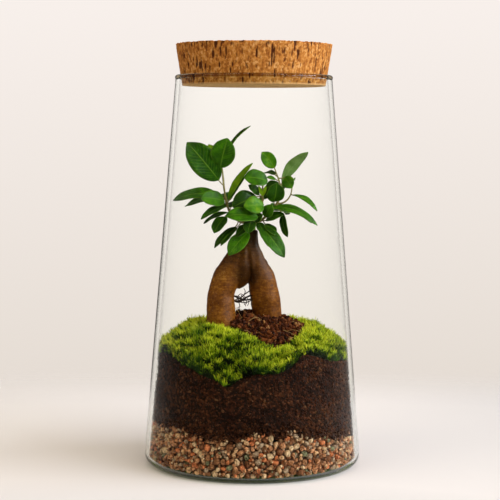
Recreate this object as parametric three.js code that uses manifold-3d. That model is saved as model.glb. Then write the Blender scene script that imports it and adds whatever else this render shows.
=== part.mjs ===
// A closed glass terrarium: a tapered jar with a cork, and in it gravel, soil, moss, a mound of coir
// and a small fig tree on two swollen legs. Millimetres, +Z up, the origin in the middle of the flat
// foot, the side that is seen first towards -Y.
import * as THREE from "three";
import { mergeVertices } from "three/addons/utils/BufferGeometryUtils.js";
import Module from "manifold-3d";

const wasm = await Module();
wasm.setup();

// Jar
const JAR_HEIGHT = 278;
const RIM_RADIUS = 55.4;
const WALL_SLOPE = 0.0818; // how far the wall spreads for each mm down
const WALL = 3;
const BASE = 3.2; // glass under the contents
const FOOT_ROUNDING = 7.8;
const INNER_ROUNDING = 4.8;
const RIM_BEAD = 0.6; // how far the rounded rim stands out from the wall
const JAR_SIDES = 48;

// Cork
const CORK_BOTTOM = 270.4;
const CORK_TOP = 300;
const CORK_BOTTOM_RADIUS = 51;
const CORK_TOP_RADIUS = 55.8;

// Contents
const GAP = 0.35; // between pieces that touch
const GRAVEL_MIDDLE = 32; // height of the gravel in the middle of the jar
const GRAIN_RADIUS = 6;
const SOIL_MIDDLE = 86;
const MOSS_THICKNESS = 10;
const MOSS_LIP = 5; // moss above the soil line, against the glass
const TUFT_SPACING = 4.5;
const TUFT_HEIGHT = 4.4;
const MOUND_TOP = 107.5;
const CRUMB_SPACING = 5.2;
const BLADE = 0.7; // thickness of a leaf
const TRUNK_TOP = 168;

const WALL_ANGLE = Math.atan(WALL_SLOPE);
const DEGREE = Math.PI / 180;

// Returns a function that draws numbers from 0 to 1, the same row for the same seed.
function randomRow(seed) {
  let state = seed;
  return () => {
    state = (state + 0x6d2b79f5) | 0;
    let mixed = Math.imul(state ^ (state >>> 15), 1 | state);
    mixed = (mixed + Math.imul(mixed ^ (mixed >>> 7), 61 | mixed)) ^ mixed;
    return ((mixed ^ (mixed >>> 14)) >>> 0) / 4294967296;
  };
}

function geometryOf(positions, faces) {
  const geometry = new THREE.BufferGeometry();
  geometry.setAttribute("position", new THREE.Float32BufferAttribute(positions, 3));
  geometry.setIndex(faces);
  return geometry;
}

function solidOf(geometry) {
  const bare = geometry.clone();
  bare.deleteAttribute("normal");
  bare.deleteAttribute("uv");
  const merged = mergeVertices(bare, 1e-4);
  return new wasm.Manifold(
    new wasm.Mesh({
      numProp: 3,
      vertProperties: merged.attributes.position.array,
      triVerts: new Uint32Array(merged.index.array),
    }),
  );
}

// Leaves out points that shape the surface by less than a hair.
function thinned(solid) {
  return solid.asOriginal().simplify(0.06);
}

function fuse(solids) {
  return solids.reduce((whole, next) => whole.add(next));
}

const part = new THREE.Group();
part.name = "plant_terrarium";

function addNode(name, solid, look) {
  const mesh = solid.getMesh();
  const positions = [];
  for (let i = 0; i < mesh.numVert; i += 1) {
    positions.push(...mesh.vertProperties.subarray(i * mesh.numProp, i * mesh.numProp + 3));
  }
  const geometry = geometryOf(positions, Array.from(mesh.triVerts));
  geometry.computeVertexNormals();
  const node = new THREE.Mesh(geometry, new THREE.MeshStandardMaterial(look));
  node.name = name;
  part.add(node);
}

// The jar: one piece of blown glass, turned from its profile.

const outerWall = (z) => RIM_RADIUS + (JAR_HEIGHT - z) * WALL_SLOPE;

function arc(radius, z, bend, from, to, steps) {
  const points = [];
  for (let i = 0; i <= steps; i += 1) {
    const angle = from + ((to - from) * i) / steps;
    points.push(new THREE.Vector2(radius + bend * Math.cos(angle), z + bend * Math.sin(angle)));
  }
  return points;
}

const footCentre =
  outerWall(FOOT_ROUNDING * (1 + Math.sin(WALL_ANGLE))) - FOOT_ROUNDING * Math.cos(WALL_ANGLE);
const innerWallStart = BASE + INNER_ROUNDING * (1 + Math.sin(WALL_ANGLE));
const innerCentre = outerWall(innerWallStart) - WALL - INNER_ROUNDING * Math.cos(WALL_ANGLE);
const RIM_ROUNDING = (WALL + RIM_BEAD) / 2;
const rimCentre = RIM_RADIUS + RIM_BEAD - RIM_ROUNDING;

// Turns a profile of (radius, height) points round the jar's axis.
function turned(points, sides) {
  return solidOf(new THREE.LatheGeometry(points, sides).rotateX(Math.PI / 2));
}

const innerProfile = [
  ...arc(innerCentre, BASE + INNER_ROUNDING, INNER_ROUNDING, WALL_ANGLE, -Math.PI / 2, 4),
  new THREE.Vector2(0, BASE),
];
const jarProfile = [
  new THREE.Vector2(0, 0),
  ...arc(footCentre, FOOT_ROUNDING, FOOT_ROUNDING, -Math.PI / 2, WALL_ANGLE, 5),
  ...arc(rimCentre, JAR_HEIGHT - RIM_ROUNDING, RIM_ROUNDING, -Math.PI / 5, Math.PI, 5),
  ...innerProfile,
];
addNode("glass_jar", turned(jarProfile, JAR_SIDES), { color: 0xdfe6df, roughness: 0.05, metalness: 0 });

// How far from the axis the contents may reach at a height, anywhere round the many-sided wall.
function reach(z) {
  let inner = outerWall(z) - WALL;
  if (z < innerWallStart) {
    const up = Math.min(0, z - BASE - INNER_ROUNDING);
    inner = innerCentre - GAP + Math.sqrt(Math.max(0, INNER_ROUNDING ** 2 - up ** 2));
  }
  return inner * Math.cos(Math.PI / JAR_SIDES) - GAP;
}

// The room inside the jar that the contents may fill.
const ROOM_TOP = 130;
const room = turned(
  [
    new THREE.Vector2(0, BASE + GAP),
    new THREE.Vector2(reach(BASE + 2), BASE + GAP + 1),
    new THREE.Vector2(reach(innerWallStart), innerWallStart),
    new THREE.Vector2(reach(ROOM_TOP), ROOM_TOP),
    new THREE.Vector2(0, ROOM_TOP),
  ],
  JAR_SIDES,
);

// The cork: cut from bark, with a crumbling edge above the rim and shallow pits in its side.

const CORK_SIDES = 48;
const CORK_ROWS = [0, 0.26, 0.4, 0.55, 0.7, 0.85, 0.94, 1];
const CORK_BARE_FROM = 0.3; // share of the height from which the side is rough
const corkDraw = randomRow(11);

function cork() {
  const positions = [0, 0, CORK_BOTTOM];
  const faces = [];
  for (const share of CORK_ROWS) {
    const z = CORK_BOTTOM + (CORK_TOP - CORK_BOTTOM) * share;
    const plain = CORK_BOTTOM_RADIUS + (CORK_TOP_RADIUS - CORK_BOTTOM_RADIUS) * share;
    for (let i = 0; i < CORK_SIDES; i += 1) {
      const angle = (i / CORK_SIDES) * 2 * Math.PI;
      let pit = corkDraw() ** 4 * (share > CORK_BARE_FROM ? 1.1 : 0.3);
      let drop = 0;
      if (share === 1) {
        pit = 0.3 + corkDraw() ** 3 * 1.8;
        drop = corkDraw() ** 3 * 0.7;
      }
      positions.push(Math.cos(angle) * (plain - pit), Math.sin(angle) * (plain - pit), z - drop);
    }
  }
  const top = positions.length / 3;
  positions.push(0, 0, CORK_TOP - 0.2);
  for (let i = 0; i < CORK_SIDES; i += 1) {
    const next = (i + 1) % CORK_SIDES;
    faces.push(0, 1 + next, 1 + i);
    for (let row = 0; row < CORK_ROWS.length - 1; row += 1) {
      const low = 1 + row * CORK_SIDES;
      const high = low + CORK_SIDES;
      faces.push(low + i, low + next, high + next, low + i, high + next, high + i);
    }
    faces.push(top - CORK_SIDES + i, top - CORK_SIDES + next, top);
  }
  return solidOf(geometryOf(positions, faces));
}

addNode("cork_stopper", cork(), { color: 0xa87040, roughness: 0.9, metalness: 0 });

// The surfaces of the contents. An angle round the jar is in degrees, 0 at the side seen first and
// growing towards +X; a share is 0 on the axis and 1 at the glass.

const GRAVEL_AT_GLASS = [
  [-180, 32], [-140, 30], [-100, 34], [-65, 35.5], [-43, 33.5], [-23, 31.5], [-9, 30.5],
  [2, 34.5], [20, 34], [36, 31], [54, 27], [70, 25.5], [105, 29], [145, 33],
];
const SOIL_AT_GLASS = [
  [-180, 83], [-140, 80], [-100, 81], [-76, 78.5], [-63, 84], [-42, 77.5], [-28, 71.5],
  [-10, 63.5], [-3, 71], [10, 72.5], [21, 77], [31, 87], [39, 85], [51, 79.5], [75, 77], [120, 82],
];
const MOSS_CREST = [
  [-180, 104], [-120, 107], [-90, 108], [-60, 104], [-30, 102], [-12, 99.5], [0, 96], [11, 92.5],
  [22, 87], [33, 88], [42, 95], [60, 103], [90, 105], [130, 105],
];

function around(table, degrees) {
  const next = table.findIndex(([angle]) => angle > degrees);
  const after = next < 0 ? [table[0][0] + 360, table[0][1]] : table[next];
  const before = next < 0 ? table[table.length - 1] : table[Math.max(0, next - 1)];
  const along = after[0] === before[0] ? 0 : (degrees - before[0]) / (after[0] - before[0]);
  return THREE.MathUtils.lerp(before[1], after[1], THREE.MathUtils.smoothstep(along, 0, 1));
}

const degreesAt = (x, y) => Math.atan2(x, -y) / DEGREE;

function gravelTop(degrees, share) {
  return THREE.MathUtils.lerp(GRAVEL_MIDDLE, around(GRAVEL_AT_GLASS, degrees), share ** 2);
}

function soilTop(degrees, share) {
  const edge = around(SOIL_AT_GLASS, degrees);
  const crest = Math.min(90, around(MOSS_CREST, degrees) - MOSS_THICKNESS);
  const middle = THREE.MathUtils.lerp(
    SOIL_MIDDLE,
    crest,
    THREE.MathUtils.smoothstep(share, 0.1, 0.5),
  );
  return edge + (middle - edge) * (1 - share ** 3);
}

function mossTop(x, y) {
  const share = Math.min(1, Math.hypot(x, y) / reach(85));
  const edge = around(SOIL_AT_GLASS, degreesAt(x, y)) + MOSS_LIP;
  return edge + (around(MOSS_CREST, degreesAt(x, y)) - edge) * (1 - share ** 3);
}

function moundTop(x, y) {
  const fall = y < 0 ? 0.0215 : 0.007;
  return MOUND_TOP - 0.007 * (x - 2) ** 2 - fall * y ** 2;
}

// A bed that fills the jar from wall to wall: rings of points run over its top, down its side and
// back under it. side(degrees, down) gives the radius and height of a point of the side.
function bed(columns, rings, rows, top, bottom, side) {
  const positions = [0, 0, top(0, 0)];
  const faces = [];
  const addRing = (pointAt) => {
    for (let i = 0; i < columns; i += 1) {
      const degrees = (i / columns) * 360 - 180;
      const [radius, z] = pointAt(degrees);
      positions.push(radius * Math.sin(degrees * DEGREE), -radius * Math.cos(degrees * DEGREE), z);
    }
  };
  for (let ring = 1; ring < rings; ring += 1) {
    const share = ring / rings;
    addRing((degrees) => [side(degrees, 0)[0] * share, top(degrees, share)]);
  }
  for (let row = 0; row <= rows; row += 1) {
    addRing((degrees) => side(degrees, row / rows));
  }
  for (let ring = rings - 1; ring > 0; ring -= 1) {
    const share = ring / rings;
    addRing((degrees) => [side(degrees, 1)[0] * share, bottom(degrees, share)]);
  }
  const last = positions.length / 3;
  positions.push(0, 0, bottom(0, 0));
  const ringCount = (last - 1) / columns;
  for (let i = 0; i < columns; i += 1) {
    const next = (i + 1) % columns;
    faces.push(0, 1 + i, 1 + next);
    for (let ring = 0; ring < ringCount - 1; ring += 1) {
      const inner = 1 + ring * columns;
      const outer = inner + columns;
      faces.push(inner + i, outer + i, outer + next, inner + i, outer + next, inner + next);
    }
    faces.push(last - columns + next, last - columns + i, last);
  }
  return solidOf(geometryOf(positions, faces));
}

// The gravel: a bed whose side is covered with stones that lie flat against the glass.

const BED_COLUMNS = 28;
const GRAVEL_BEHIND = 4.6; // depth of the gaps between the stones
const GRAVEL_KNEE = 0.4; // brings the middle of the side down to where the jar's foot curves in
const STONE_ROWS = 3;
const STONES_ROUND = 33;
const STONE_ROW_PITCH = 9.6;
const grainDraw = randomRow(23);

function gravelSide(degrees, down) {
  const high = gravelTop(degrees, 1) - 1;
  const z = THREE.MathUtils.lerp(high, BASE + GAP, down ** GRAVEL_KNEE);
  return [reach(z) - GRAVEL_BEHIND, z];
}

function grain(degrees, z) {
  const size = GRAIN_RADIUS * (0.82 + 0.3 * grainDraw());
  const stone = new THREE.IcosahedronGeometry(size, 0);
  stone.deleteAttribute("normal");
  stone.deleteAttribute("uv");
  const whole = mergeVertices(stone, 1e-3);
  whole.scale(1, 0.85, 0.72);
  whole.rotateX(grainDraw() * Math.PI);
  whole.rotateZ(grainDraw() * Math.PI);
  const radius = reach(z) - size * 0.6;
  whole.translate(radius * Math.sin(degrees * DEGREE), -radius * Math.cos(degrees * DEGREE), z);
  const points = whole.getAttribute("position");
  for (let i = 0; i < points.count; i += 1) {
    const x = points.getX(i) + (grainDraw() - 0.5);
    const y = points.getY(i) + (grainDraw() - 0.5);
    const ceiling = gravelTop(degreesAt(x, y), 1) - 0.8;
    const height = THREE.MathUtils.clamp(points.getZ(i), BASE + 2 * GAP, ceiling);
    const shrink = Math.min(1, reach(height) / Math.hypot(x, y));
    points.setXYZ(i, x * shrink, y * shrink, height);
  }
  return solidOf(whole);
}

function gravel() {
  const solids = [
    bed(BED_COLUMNS, 2, 2, (a, s) => gravelTop(a, s) - 0.3 - s, () => BASE + GAP, gravelSide),
  ];
  for (let row = 0; row < STONE_ROWS; row += 1) {
    for (let i = 0; i < STONES_ROUND; i += 1) {
      const place = i + (row % 2) / 2 + 0.4 * (grainDraw() - 0.5);
      const degrees = (place / STONES_ROUND) * 360 - 180;
      const z = BASE + 4.5 + row * STONE_ROW_PITCH + 2 * (grainDraw() - 0.5);
      if (z < gravelTop(degrees, 1) - 1.5) solids.push(grain(degrees, z));
    }
  }
  return thinned(fuse(solids));
}

// The soil: pressed against the glass, its side broken up by crumbs.

const SOIL_COLUMNS = 48;
const SOIL_RINGS = 4;
const SOIL_ROWS = 6;
const soilDraw = randomRow(37);

function soilSide(degrees, down) {
  const low = gravelTop(degrees, 1) + GAP;
  const z = THREE.MathUtils.lerp(soilTop(degrees, 1), low, down);
  const crumb = down === 0 || down === 1 ? 0.1 : soilDraw() ** 1.5 * 2.2;
  return [reach(z) - crumb, z];
}

function soil() {
  return bed(SOIL_COLUMNS, SOIL_RINGS, SOIL_ROWS, soilTop, (a, s) => gravelTop(a, s) + GAP, soilSide);
}

// The plant's woody parts. A limb is a round tube through points [x, y, z, radius].
function limb(points, sides, steps) {
  const middle = new THREE.CatmullRomCurve3(points.map(([x, y, z]) => new THREE.Vector3(x, y, z)));
  const thickness = new THREE.CatmullRomCurve3(points.map((p) => new THREE.Vector3(p[3], 0, 0)));
  const positions = [];
  const faces = [];
  let side = new THREE.Vector3(1, 0, 0);
  positions.push(...middle.getPoint(0).toArray());
  for (let step = 0; step <= steps; step += 1) {
    const along = middle.getTangent(step / steps);
    const centre = middle.getPoint(step / steps);
    const radius = thickness.getPoint(step / steps).x;
    side = side.clone().addScaledVector(along, -side.dot(along));
    if (side.length() < 0.1) side = new THREE.Vector3(0, 1, 0).cross(along);
    side.normalize();
    const other = along.clone().cross(side);
    for (let i = 0; i < sides; i += 1) {
      const angle = (i / sides) * 2 * Math.PI;
      const out = side.clone().multiplyScalar(Math.cos(angle));
      out.addScaledVector(other, Math.sin(angle)).multiplyScalar(radius).add(centre);
      positions.push(...out.toArray());
    }
  }
  const last = positions.length / 3;
  positions.push(...middle.getPoint(1).toArray());
  for (let i = 0; i < sides; i += 1) {
    const next = (i + 1) % sides;
    faces.push(0, 1 + next, 1 + i);
    for (let ring = 0; ring < steps; ring += 1) {
      const low = 1 + ring * sides;
      const high = low + sides;
      faces.push(low + i, low + next, high + next, low + i, high + next, high + i);
    }
    faces.push(last - sides + i, last - sides + next, last);
  }
  return solidOf(geometryOf(positions, faces));
}

// Each leg stands in a plain round hole that is a little wider than its foot.
const LEFT_FOOT = [[-22.7, -6, 84, 9], [-22.7, -6, 92, 9.6], [-22.7, -6, 100, 9.9]];
const RIGHT_FOOT = [[10.5, 3, 84, 9], [10.5, 3, 92, 9.6], [10.5, 3, 100, 9.8]];
const leftLeg = [
  ...LEFT_FOOT, [-22.8, -5.5, 107.4, 10.1], [-23.2, -4, 116.8, 9.7], [-22.6, -3, 124, 9.2],
  [-19.8, -2, 132, 9.3], [-15.5, -1, 140, 8.9], [-10, 0, 148.4, 8.5], [-4.5, 0, 156.5, 5.7],
  [-1.4, 0, 163, 4.5], [-1, 0, TRUNK_TOP, 4.3],
];
const rightLeg = [
  ...RIGHT_FOOT, [10.4, 3, 107.4, 9.9], [9.2, 2.5, 116.8, 10.4], [7.8, 2, 124, 10.1],
  [6.2, 1.5, 132, 9.7], [3, 1, 140, 8.4], [0, 0.5, 148.4, 7.4], [-1.5, 0, 156.5, 5.2],
  [-1.1, 0, 163, 4.4], [-1, 0, TRUNK_TOP, 4.2],
];
const shoulder = [[-12, 0, 127, 2.4], [-9.5, -0.3, 131.5, 5.4], [-7.5, -0.5, 137.5, 8],
  [-6, -0.5, 143, 9.7], [-4.5, 0, 150, 9], [-2, 0, 158, 5.4]];
const rootlets = [
  [[-16, -3, 119, 0.6], [-10, -4, 115.5, 0.5], [-6, -2, 119, 0.5], [1, 1, 122, 0.6]],
  [[-15, -2, 123, 0.6], [-11, 0, 119, 0.5], [-7, 1, 116.5, 0.5], [1, 2, 118, 0.6]],
  [[-16, -1, 113, 0.5], [-11, -2, 118, 0.5], [-6, -3, 123, 0.5], [0, 0, 126, 0.6]],
];
const LEG_SIDES = 12;
const ROOTLET_SIDES = 5;

const HOLE_PLAY = 0.75;
const HOLE_TOP = 118;

function hole(foot) {
  const sides = foot.map(([x, y, z, radius]) => [x, y, z - GAP, radius + HOLE_PLAY]);
  const [x, y, , radius] = sides[2];
  return limb([...sides, [x, y, HOLE_TOP, radius + 0.5]], LEG_SIDES + 4, 3);
}
const legHoles = fuse([hole(LEFT_FOOT), hole(RIGHT_FOOT)]);

const STEM_FEET = [[-3.2, 0.3], [-0.6, -2.2], [0.6, 1]]; // where the three shoots stand on the neck
const STEM_RADIUS = 1.1;
const SOCKET_DEPTH = 2.4;
const SOCKET_PLAY = 0.6;

function socket([x, y]) {
  const wide = STEM_RADIUS + SOCKET_PLAY;
  const foot = TRUNK_TOP - SOCKET_DEPTH;
  return limb([[x, y, foot, wide], [x, y, foot + 3, wide], [x, y, foot + 6, wide]], 8, 1);
}

function trunk() {
  const wood = fuse([
    limb(leftLeg, LEG_SIDES, 13),
    limb(rightLeg, LEG_SIDES, 13),
    limb(shoulder, 12, 8),
    ...rootlets.map((points) => limb(points, ROOTLET_SIDES, 5)),
  ]);
  return thinned(wood.subtract(fuse(STEM_FEET.map(socket))));
}

// Moss and coir lie on the soil as cushions with a broken surface: a net of points over the whole
// jar, cut to the outline of the cushion and to the soil below it.

// Outlines seen from above, shared by neighbours. Outside the glass they only have to reach far.
const FAR = 95;
const SEAM_LEFT = [[-FAR, -18], [-60, -17], [-50, -15], [-40, -13], [-31, -11]];
const MOUND_FRONT = [[-24, -16], [-8, -19.5], [5, -26], [13.5, -28.5], [20, -30.5], [28, -30]];
const MOUND_RIGHT = [[32, -20], [35.5, -6], [37, 6]];
const MOUND_BACK = [[30, 22], [10, 31], [-12, 30], [-29, 20], [-35, 5]];
const SEAM_MIDDLE = [[30, -36], [31, -50], [FAR * 0.5, -FAR]];
const SEAM_RIGHT = [[FAR, 16]];
const outlines = {
  front: [...SEAM_LEFT, ...MOUND_FRONT, ...SEAM_MIDDLE, [-FAR, -FAR]],
  right: [...SEAM_MIDDLE.slice().reverse(), [28, -30], ...MOUND_RIGHT, ...SEAM_RIGHT, [FAR, -FAR]],
  back: [[-31, -11], ...SEAM_LEFT.slice(0, 4).reverse(), [-FAR, FAR], [FAR, FAR], ...SEAM_RIGHT,
    [37, 6], ...MOUND_BACK],
  mound: [[-31, -11], ...MOUND_FRONT, ...MOUND_RIGHT, ...MOUND_BACK],
};

// Distance from a point to the seams that part the cushions.
function toSeam(x, y, lines) {
  const here = new THREE.Vector3(x, y, 0);
  const line = new THREE.Line3();
  const foot = new THREE.Vector3();
  let nearest = Infinity;
  for (const points of lines) {
    for (let i = 1; i < points.length; i += 1) {
      line.start.set(points[i - 1][0], points[i - 1][1], 0);
      line.end.set(points[i][0], points[i][1], 0);
      line.closestPointToPoint(here, true, foot);
      nearest = Math.min(nearest, foot.distanceTo(here));
    }
  }
  return nearest;
}

const seams = [
  SEAM_LEFT,
  [[-31, -11], ...MOUND_FRONT, ...MOUND_RIGHT, ...MOUND_BACK, [-31, -11]],
  [[28, -30], ...SEAM_MIDDLE],
  [[37, 6], ...SEAM_RIGHT],
];

// A block with a flat underside and a top of points set on a triangular net; lift(x, y, i, j) gives
// the shift of a point and its height.
function netBlock(spacing, lift) {
  const half = Math.ceil(74 / spacing);
  const across = 2 * half + 1;
  const rowStep = spacing * Math.sqrt(0.75);
  const positions = [];
  const faces = [];
  const floor = 50;
  for (let j = 0; j < across; j += 1) {
    for (let i = 0; i < across; i += 1) {
      const x = (i - half + ((j % 2) - 0.5) / 2) * spacing;
      const y = (j - half) * rowStep;
      positions.push(...lift(x, y, i, j));
    }
  }
  const count = positions.length / 3;
  for (let i = 0; i < count; i += 1) positions.push(positions[3 * i], positions[3 * i + 1], floor);
  const addQuad = (a, b, c, d) => faces.push(a, b, c, a, c, d);
  for (let j = 0; j < across - 1; j += 1) {
    for (let i = 0; i < across - 1; i += 1) {
      const here = j * across + i;
      const above = here + across;
      const cells =
        j % 2 === 0
          ? [[here, here + 1, above], [here + 1, above + 1, above]]
          : [[here, here + 1, above + 1], [here, above + 1, above]];
      for (const [a, b, c] of cells) {
        faces.push(a, b, c);
        faces.push(count + c, count + b, count + a);
      }
    }
  }
  for (let i = 0; i < across - 1; i += 1) {
    const top = (across - 1) * across + i;
    addQuad(count + i, count + i + 1, i + 1, i);
    addQuad(count + top + 1, count + top, top, top + 1);
    const left = i * across;
    const right = left + across - 1;
    addQuad(count + left + across, count + left, left, left + across);
    addQuad(count + right, count + right + across, right + across, right);
  }
  return solidOf(geometryOf(positions, faces));
}

// Tufts of moss: every third point of the net stands up, leaning down the slope.
const mossDraw = randomRow(53);

function mossPoint(x, y, i, j) {
  const diagonal = i - Math.floor(j / 2);
  const tuft = (diagonal + 2 * j) % 3 === 0;
  const seam = toSeam(x, y, seams);
  const share = Math.min(1, Math.hypot(x, y) / reach(85));
  const sink = 4.5 * (1 - share ** 4) * (1 - THREE.MathUtils.smoothstep(seam, 0, 8));
  const hummock = 1.2 * Math.sin(x * 0.21 + 1) * Math.sin(y * 0.19 + x * 0.05);
  const slopeX = (mossTop(x + 1, y) - mossTop(x - 1, y)) / 2;
  const slopeY = (mossTop(x, y + 1) - mossTop(x, y - 1)) / 2;
  const stand = tuft ? TUFT_HEIGHT * (0.6 + 0.4 * mossDraw()) : 0.5 * mossDraw();
  const lean = tuft ? 1.6 : 0;
  const shift = () => (mossDraw() - 0.5) * TUFT_SPACING * 0.45;
  return [
    x - slopeX * lean + shift(),
    y - slopeY * lean + shift(),
    mossTop(x, y) - TUFT_HEIGHT * 0.6 + hummock - sink + stand,
  ];
}

const crumbDraw = randomRow(71);

function moundPoint(x, y) {
  const shift = () => (crumbDraw() - 0.5) * CRUMB_SPACING * 0.7;
  const rim = 1.5 * (1 - THREE.MathUtils.smoothstep(toSeam(x, y, [seams[1]]), 0, 5));
  return [x + shift(), y + shift(), moundTop(x, y) - rim + (crumbDraw() - 0.5) * 3.6];
}

function prism(outline) {
  const shape = new THREE.Shape(outline.map(([x, y]) => new THREE.Vector2(x, y)));
  const geometry = new THREE.ExtrudeGeometry(shape, { depth: 100, bevelEnabled: false });
  return solidOf(geometry.translate(0, 0, 40));
}

const soilBed = soil();
const gravelBed = gravel();

// The soil's top, carried on past the glass, which the undersides of the cushions are cut to.
const groundSide = (degrees, down) => {
  const [radius, z] = soilSide(degrees, 0);
  return [down === 0 ? radius : radius + 12, down === 1 ? 45 : z];
};
const ground = bed(SOIL_COLUMNS, SOIL_RINGS, 2, soilTop, () => 45, groundSide).translate([0, 0, GAP]);
const mossNet = netBlock(TUFT_SPACING, mossPoint);
const moundNet = netBlock(CRUMB_SPACING, moundPoint);
const mossBody = mossNet.intersect(room).subtract(ground).subtract(legHoles);
const moundBody = moundNet.intersect(room).subtract(ground).subtract(legHoles);

// A cut can leave a loose chip: the largest body is the cushion.
function largest(solid) {
  return solid.decompose().reduce((best, next) => (next.volume() > best.volume() ? next : best));
}

function mossCushion(outline, shift) {
  return thinned(largest(mossBody.intersect(prism(outline).translate(shift))));
}

const SEAM_GAP = 0.2;
const MOUND_CENTRE = [1, 1, 0];
const MOUND_SHRINK = 0.985; // leaves a narrow gap round the mound
const moundPrism = prism(outlines.mound)
  .translate(MOUND_CENTRE.map((part) => -part))
  .scale([MOUND_SHRINK, MOUND_SHRINK, 1])
  .translate(MOUND_CENTRE);
addNode("gravel_bed", gravelBed, { color: 0x9c7f70, roughness: 0.85, metalness: 0 });
const soilBody = thinned(soilBed.subtract(legHoles));
addNode("soil_layer", soilBody, { color: 0x3a2317, roughness: 0.95, metalness: 0 });
const mound = thinned(largest(moundBody.intersect(moundPrism)));
addNode("coir_mound", mound, { color: 0x5a2f1c, roughness: 0.95, metalness: 0 });
const MOSS_LOOK = { color: 0x6f8f1c, roughness: 0.9, metalness: 0 };
addNode("moss_front", mossCushion(outlines.front, [-SEAM_GAP, -SEAM_GAP, 0]), MOSS_LOOK);
addNode("moss_right", mossCushion(outlines.right, [SEAM_GAP, -SEAM_GAP, 0]), MOSS_LOOK);
addNode("moss_back", mossCushion(outlines.back, [0, SEAM_GAP, 0]), MOSS_LOOK);
addNode("ficus_trunk", trunk(), { color: 0x6e4020, roughness: 0.45, metalness: 0 });

// A leaf is a thin blade folded along its midrib and bent along its length, on a short stalk. Turn is
// 0 when the blade faces -Y and 90 when it is seen edge on. A positive turn tips the face up on a leaf
// that points to the left, and a negative turn does so on one that points to the right.
const LEAF_STATIONS = [0, 0.22, 0.52, 0.8, 1];
const LEAF_SHARES = [0.1, 0.72, 1, 0.78, 0.08];
const FOLD = 0.16;
const LIFT = 0.09; // how far the middle of the blade arches up, as a share of its length

function leafFrame({ base, tip, turn }) {
  const start = new THREE.Vector3(...base);
  const along = new THREE.Vector3(...tip).sub(start);
  const length = along.length();
  along.normalize();
  const face = new THREE.Vector3(0, -1, 0);
  face.addScaledVector(along, -face.dot(along)).normalize();
  face.applyAxisAngle(along, turn * DEGREE);
  const side = new THREE.Vector3().crossVectors(along, face);
  return { start, along, length, face, side };
}

function leafPoint(leaf, frame, station, across) {
  const { start, along, length, face, side } = frame;
  const arch = (leaf.arch ?? LIFT) * length * 4 * station * (1 - station);
  const out = (Math.abs(across) * leaf.width) / 2;
  return start
    .clone()
    .addScaledVector(along, station * length)
    .addScaledVector(face, arch + out * FOLD)
    .addScaledVector(side, (across * leaf.width) / 2);
}

// The skins of the leaf: rows of three points from the stem, along the stalk and over the blade.
function blade(leaf, spot) {
  const frame = leafFrame(leaf);
  const positions = [];
  const faces = [];
  const stalk = leafPoint(leaf, frame, 0, 0).sub(spot).normalize();
  const stalkSide = frame.side.clone().addScaledVector(stalk, -frame.side.dot(stalk)).normalize();
  const stalkFace = new THREE.Vector3().crossVectors(stalkSide, stalk);
  for (const skin of [1, -1]) {
    for (const across of [-1, 0, 1]) {
      const point = spot.clone().addScaledVector(stalkSide, across * STALK_RADIUS);
      positions.push(...point.addScaledVector(stalkFace, skin * STALK_RADIUS).toArray());
    }
    LEAF_STATIONS.forEach((station, row) => {
      for (const across of [-1, 0, 1]) {
        const point = leafPoint(leaf, frame, station, across * LEAF_SHARES[row]);
        point.addScaledVector(frame.face, (skin * BLADE) / 2);
        positions.push(...point.toArray());
      }
    });
  }
  const rows = LEAF_STATIONS.length + 1;
  const count = rows * 3;
  const addQuad = (a, b, c, d) => faces.push(a, b, c, a, c, d);
  for (let row = 0; row < rows - 1; row += 1) {
    const a = row * 3;
    for (const k of [a, a + 1]) {
      addQuad(k, k + 1, k + 4, k + 3);
      addQuad(count + k, count + k + 3, count + k + 4, count + k + 1);
    }
    addQuad(count + a, a, a + 3, count + a + 3);
    addQuad(a + 2, count + a + 2, count + a + 5, a + 5);
  }
  for (const k of [0, 1]) {
    addQuad(count + k, count + k + 1, k + 1, k);
    addQuad(count - 3 + k, count - 2 + k, 2 * count - 2 + k, 2 * count - 3 + k);
  }
  return solidOf(geometryOf(positions, faces));
}

// A shoot: a stem with its side stems, and leaves that stand on stalks on the nearest stem.
function shoot(stems, leaves) {
  const wood = stems.map((points) => limb(points, 6, points.length + 4));
  const curves = stems.map(
    (points) => new THREE.CatmullRomCurve3(points.map(([x, y, z]) => new THREE.Vector3(x, y, z))),
  );
  const spots = curves.flatMap((curve) => curve.getPoints(40).slice(10));
  const bladeOn = (leaf) => {
    const frame = leafFrame(leaf);
    const below = frame.start.clone().addScaledVector(frame.along, -0.1 * frame.length);
    below.z -= 1;
    const nearer = (best, next) => (next.distanceTo(below) < best.distanceTo(below) ? next : best);
    return blade(leaf, spots.reduce(nearer));
  };
  return thinned(fuse([...wood, ...leaves.map(bladeOn)]));
}

const STALK_RADIUS = 0.55;

function stemFoot([x, y]) {
  const foot = TRUNK_TOP - SOCKET_DEPTH + GAP;
  return [foot, TRUNK_TOP + 0.5, TRUNK_TOP + 3].map((z) => [x, y, z, STEM_RADIUS]);
}

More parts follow.
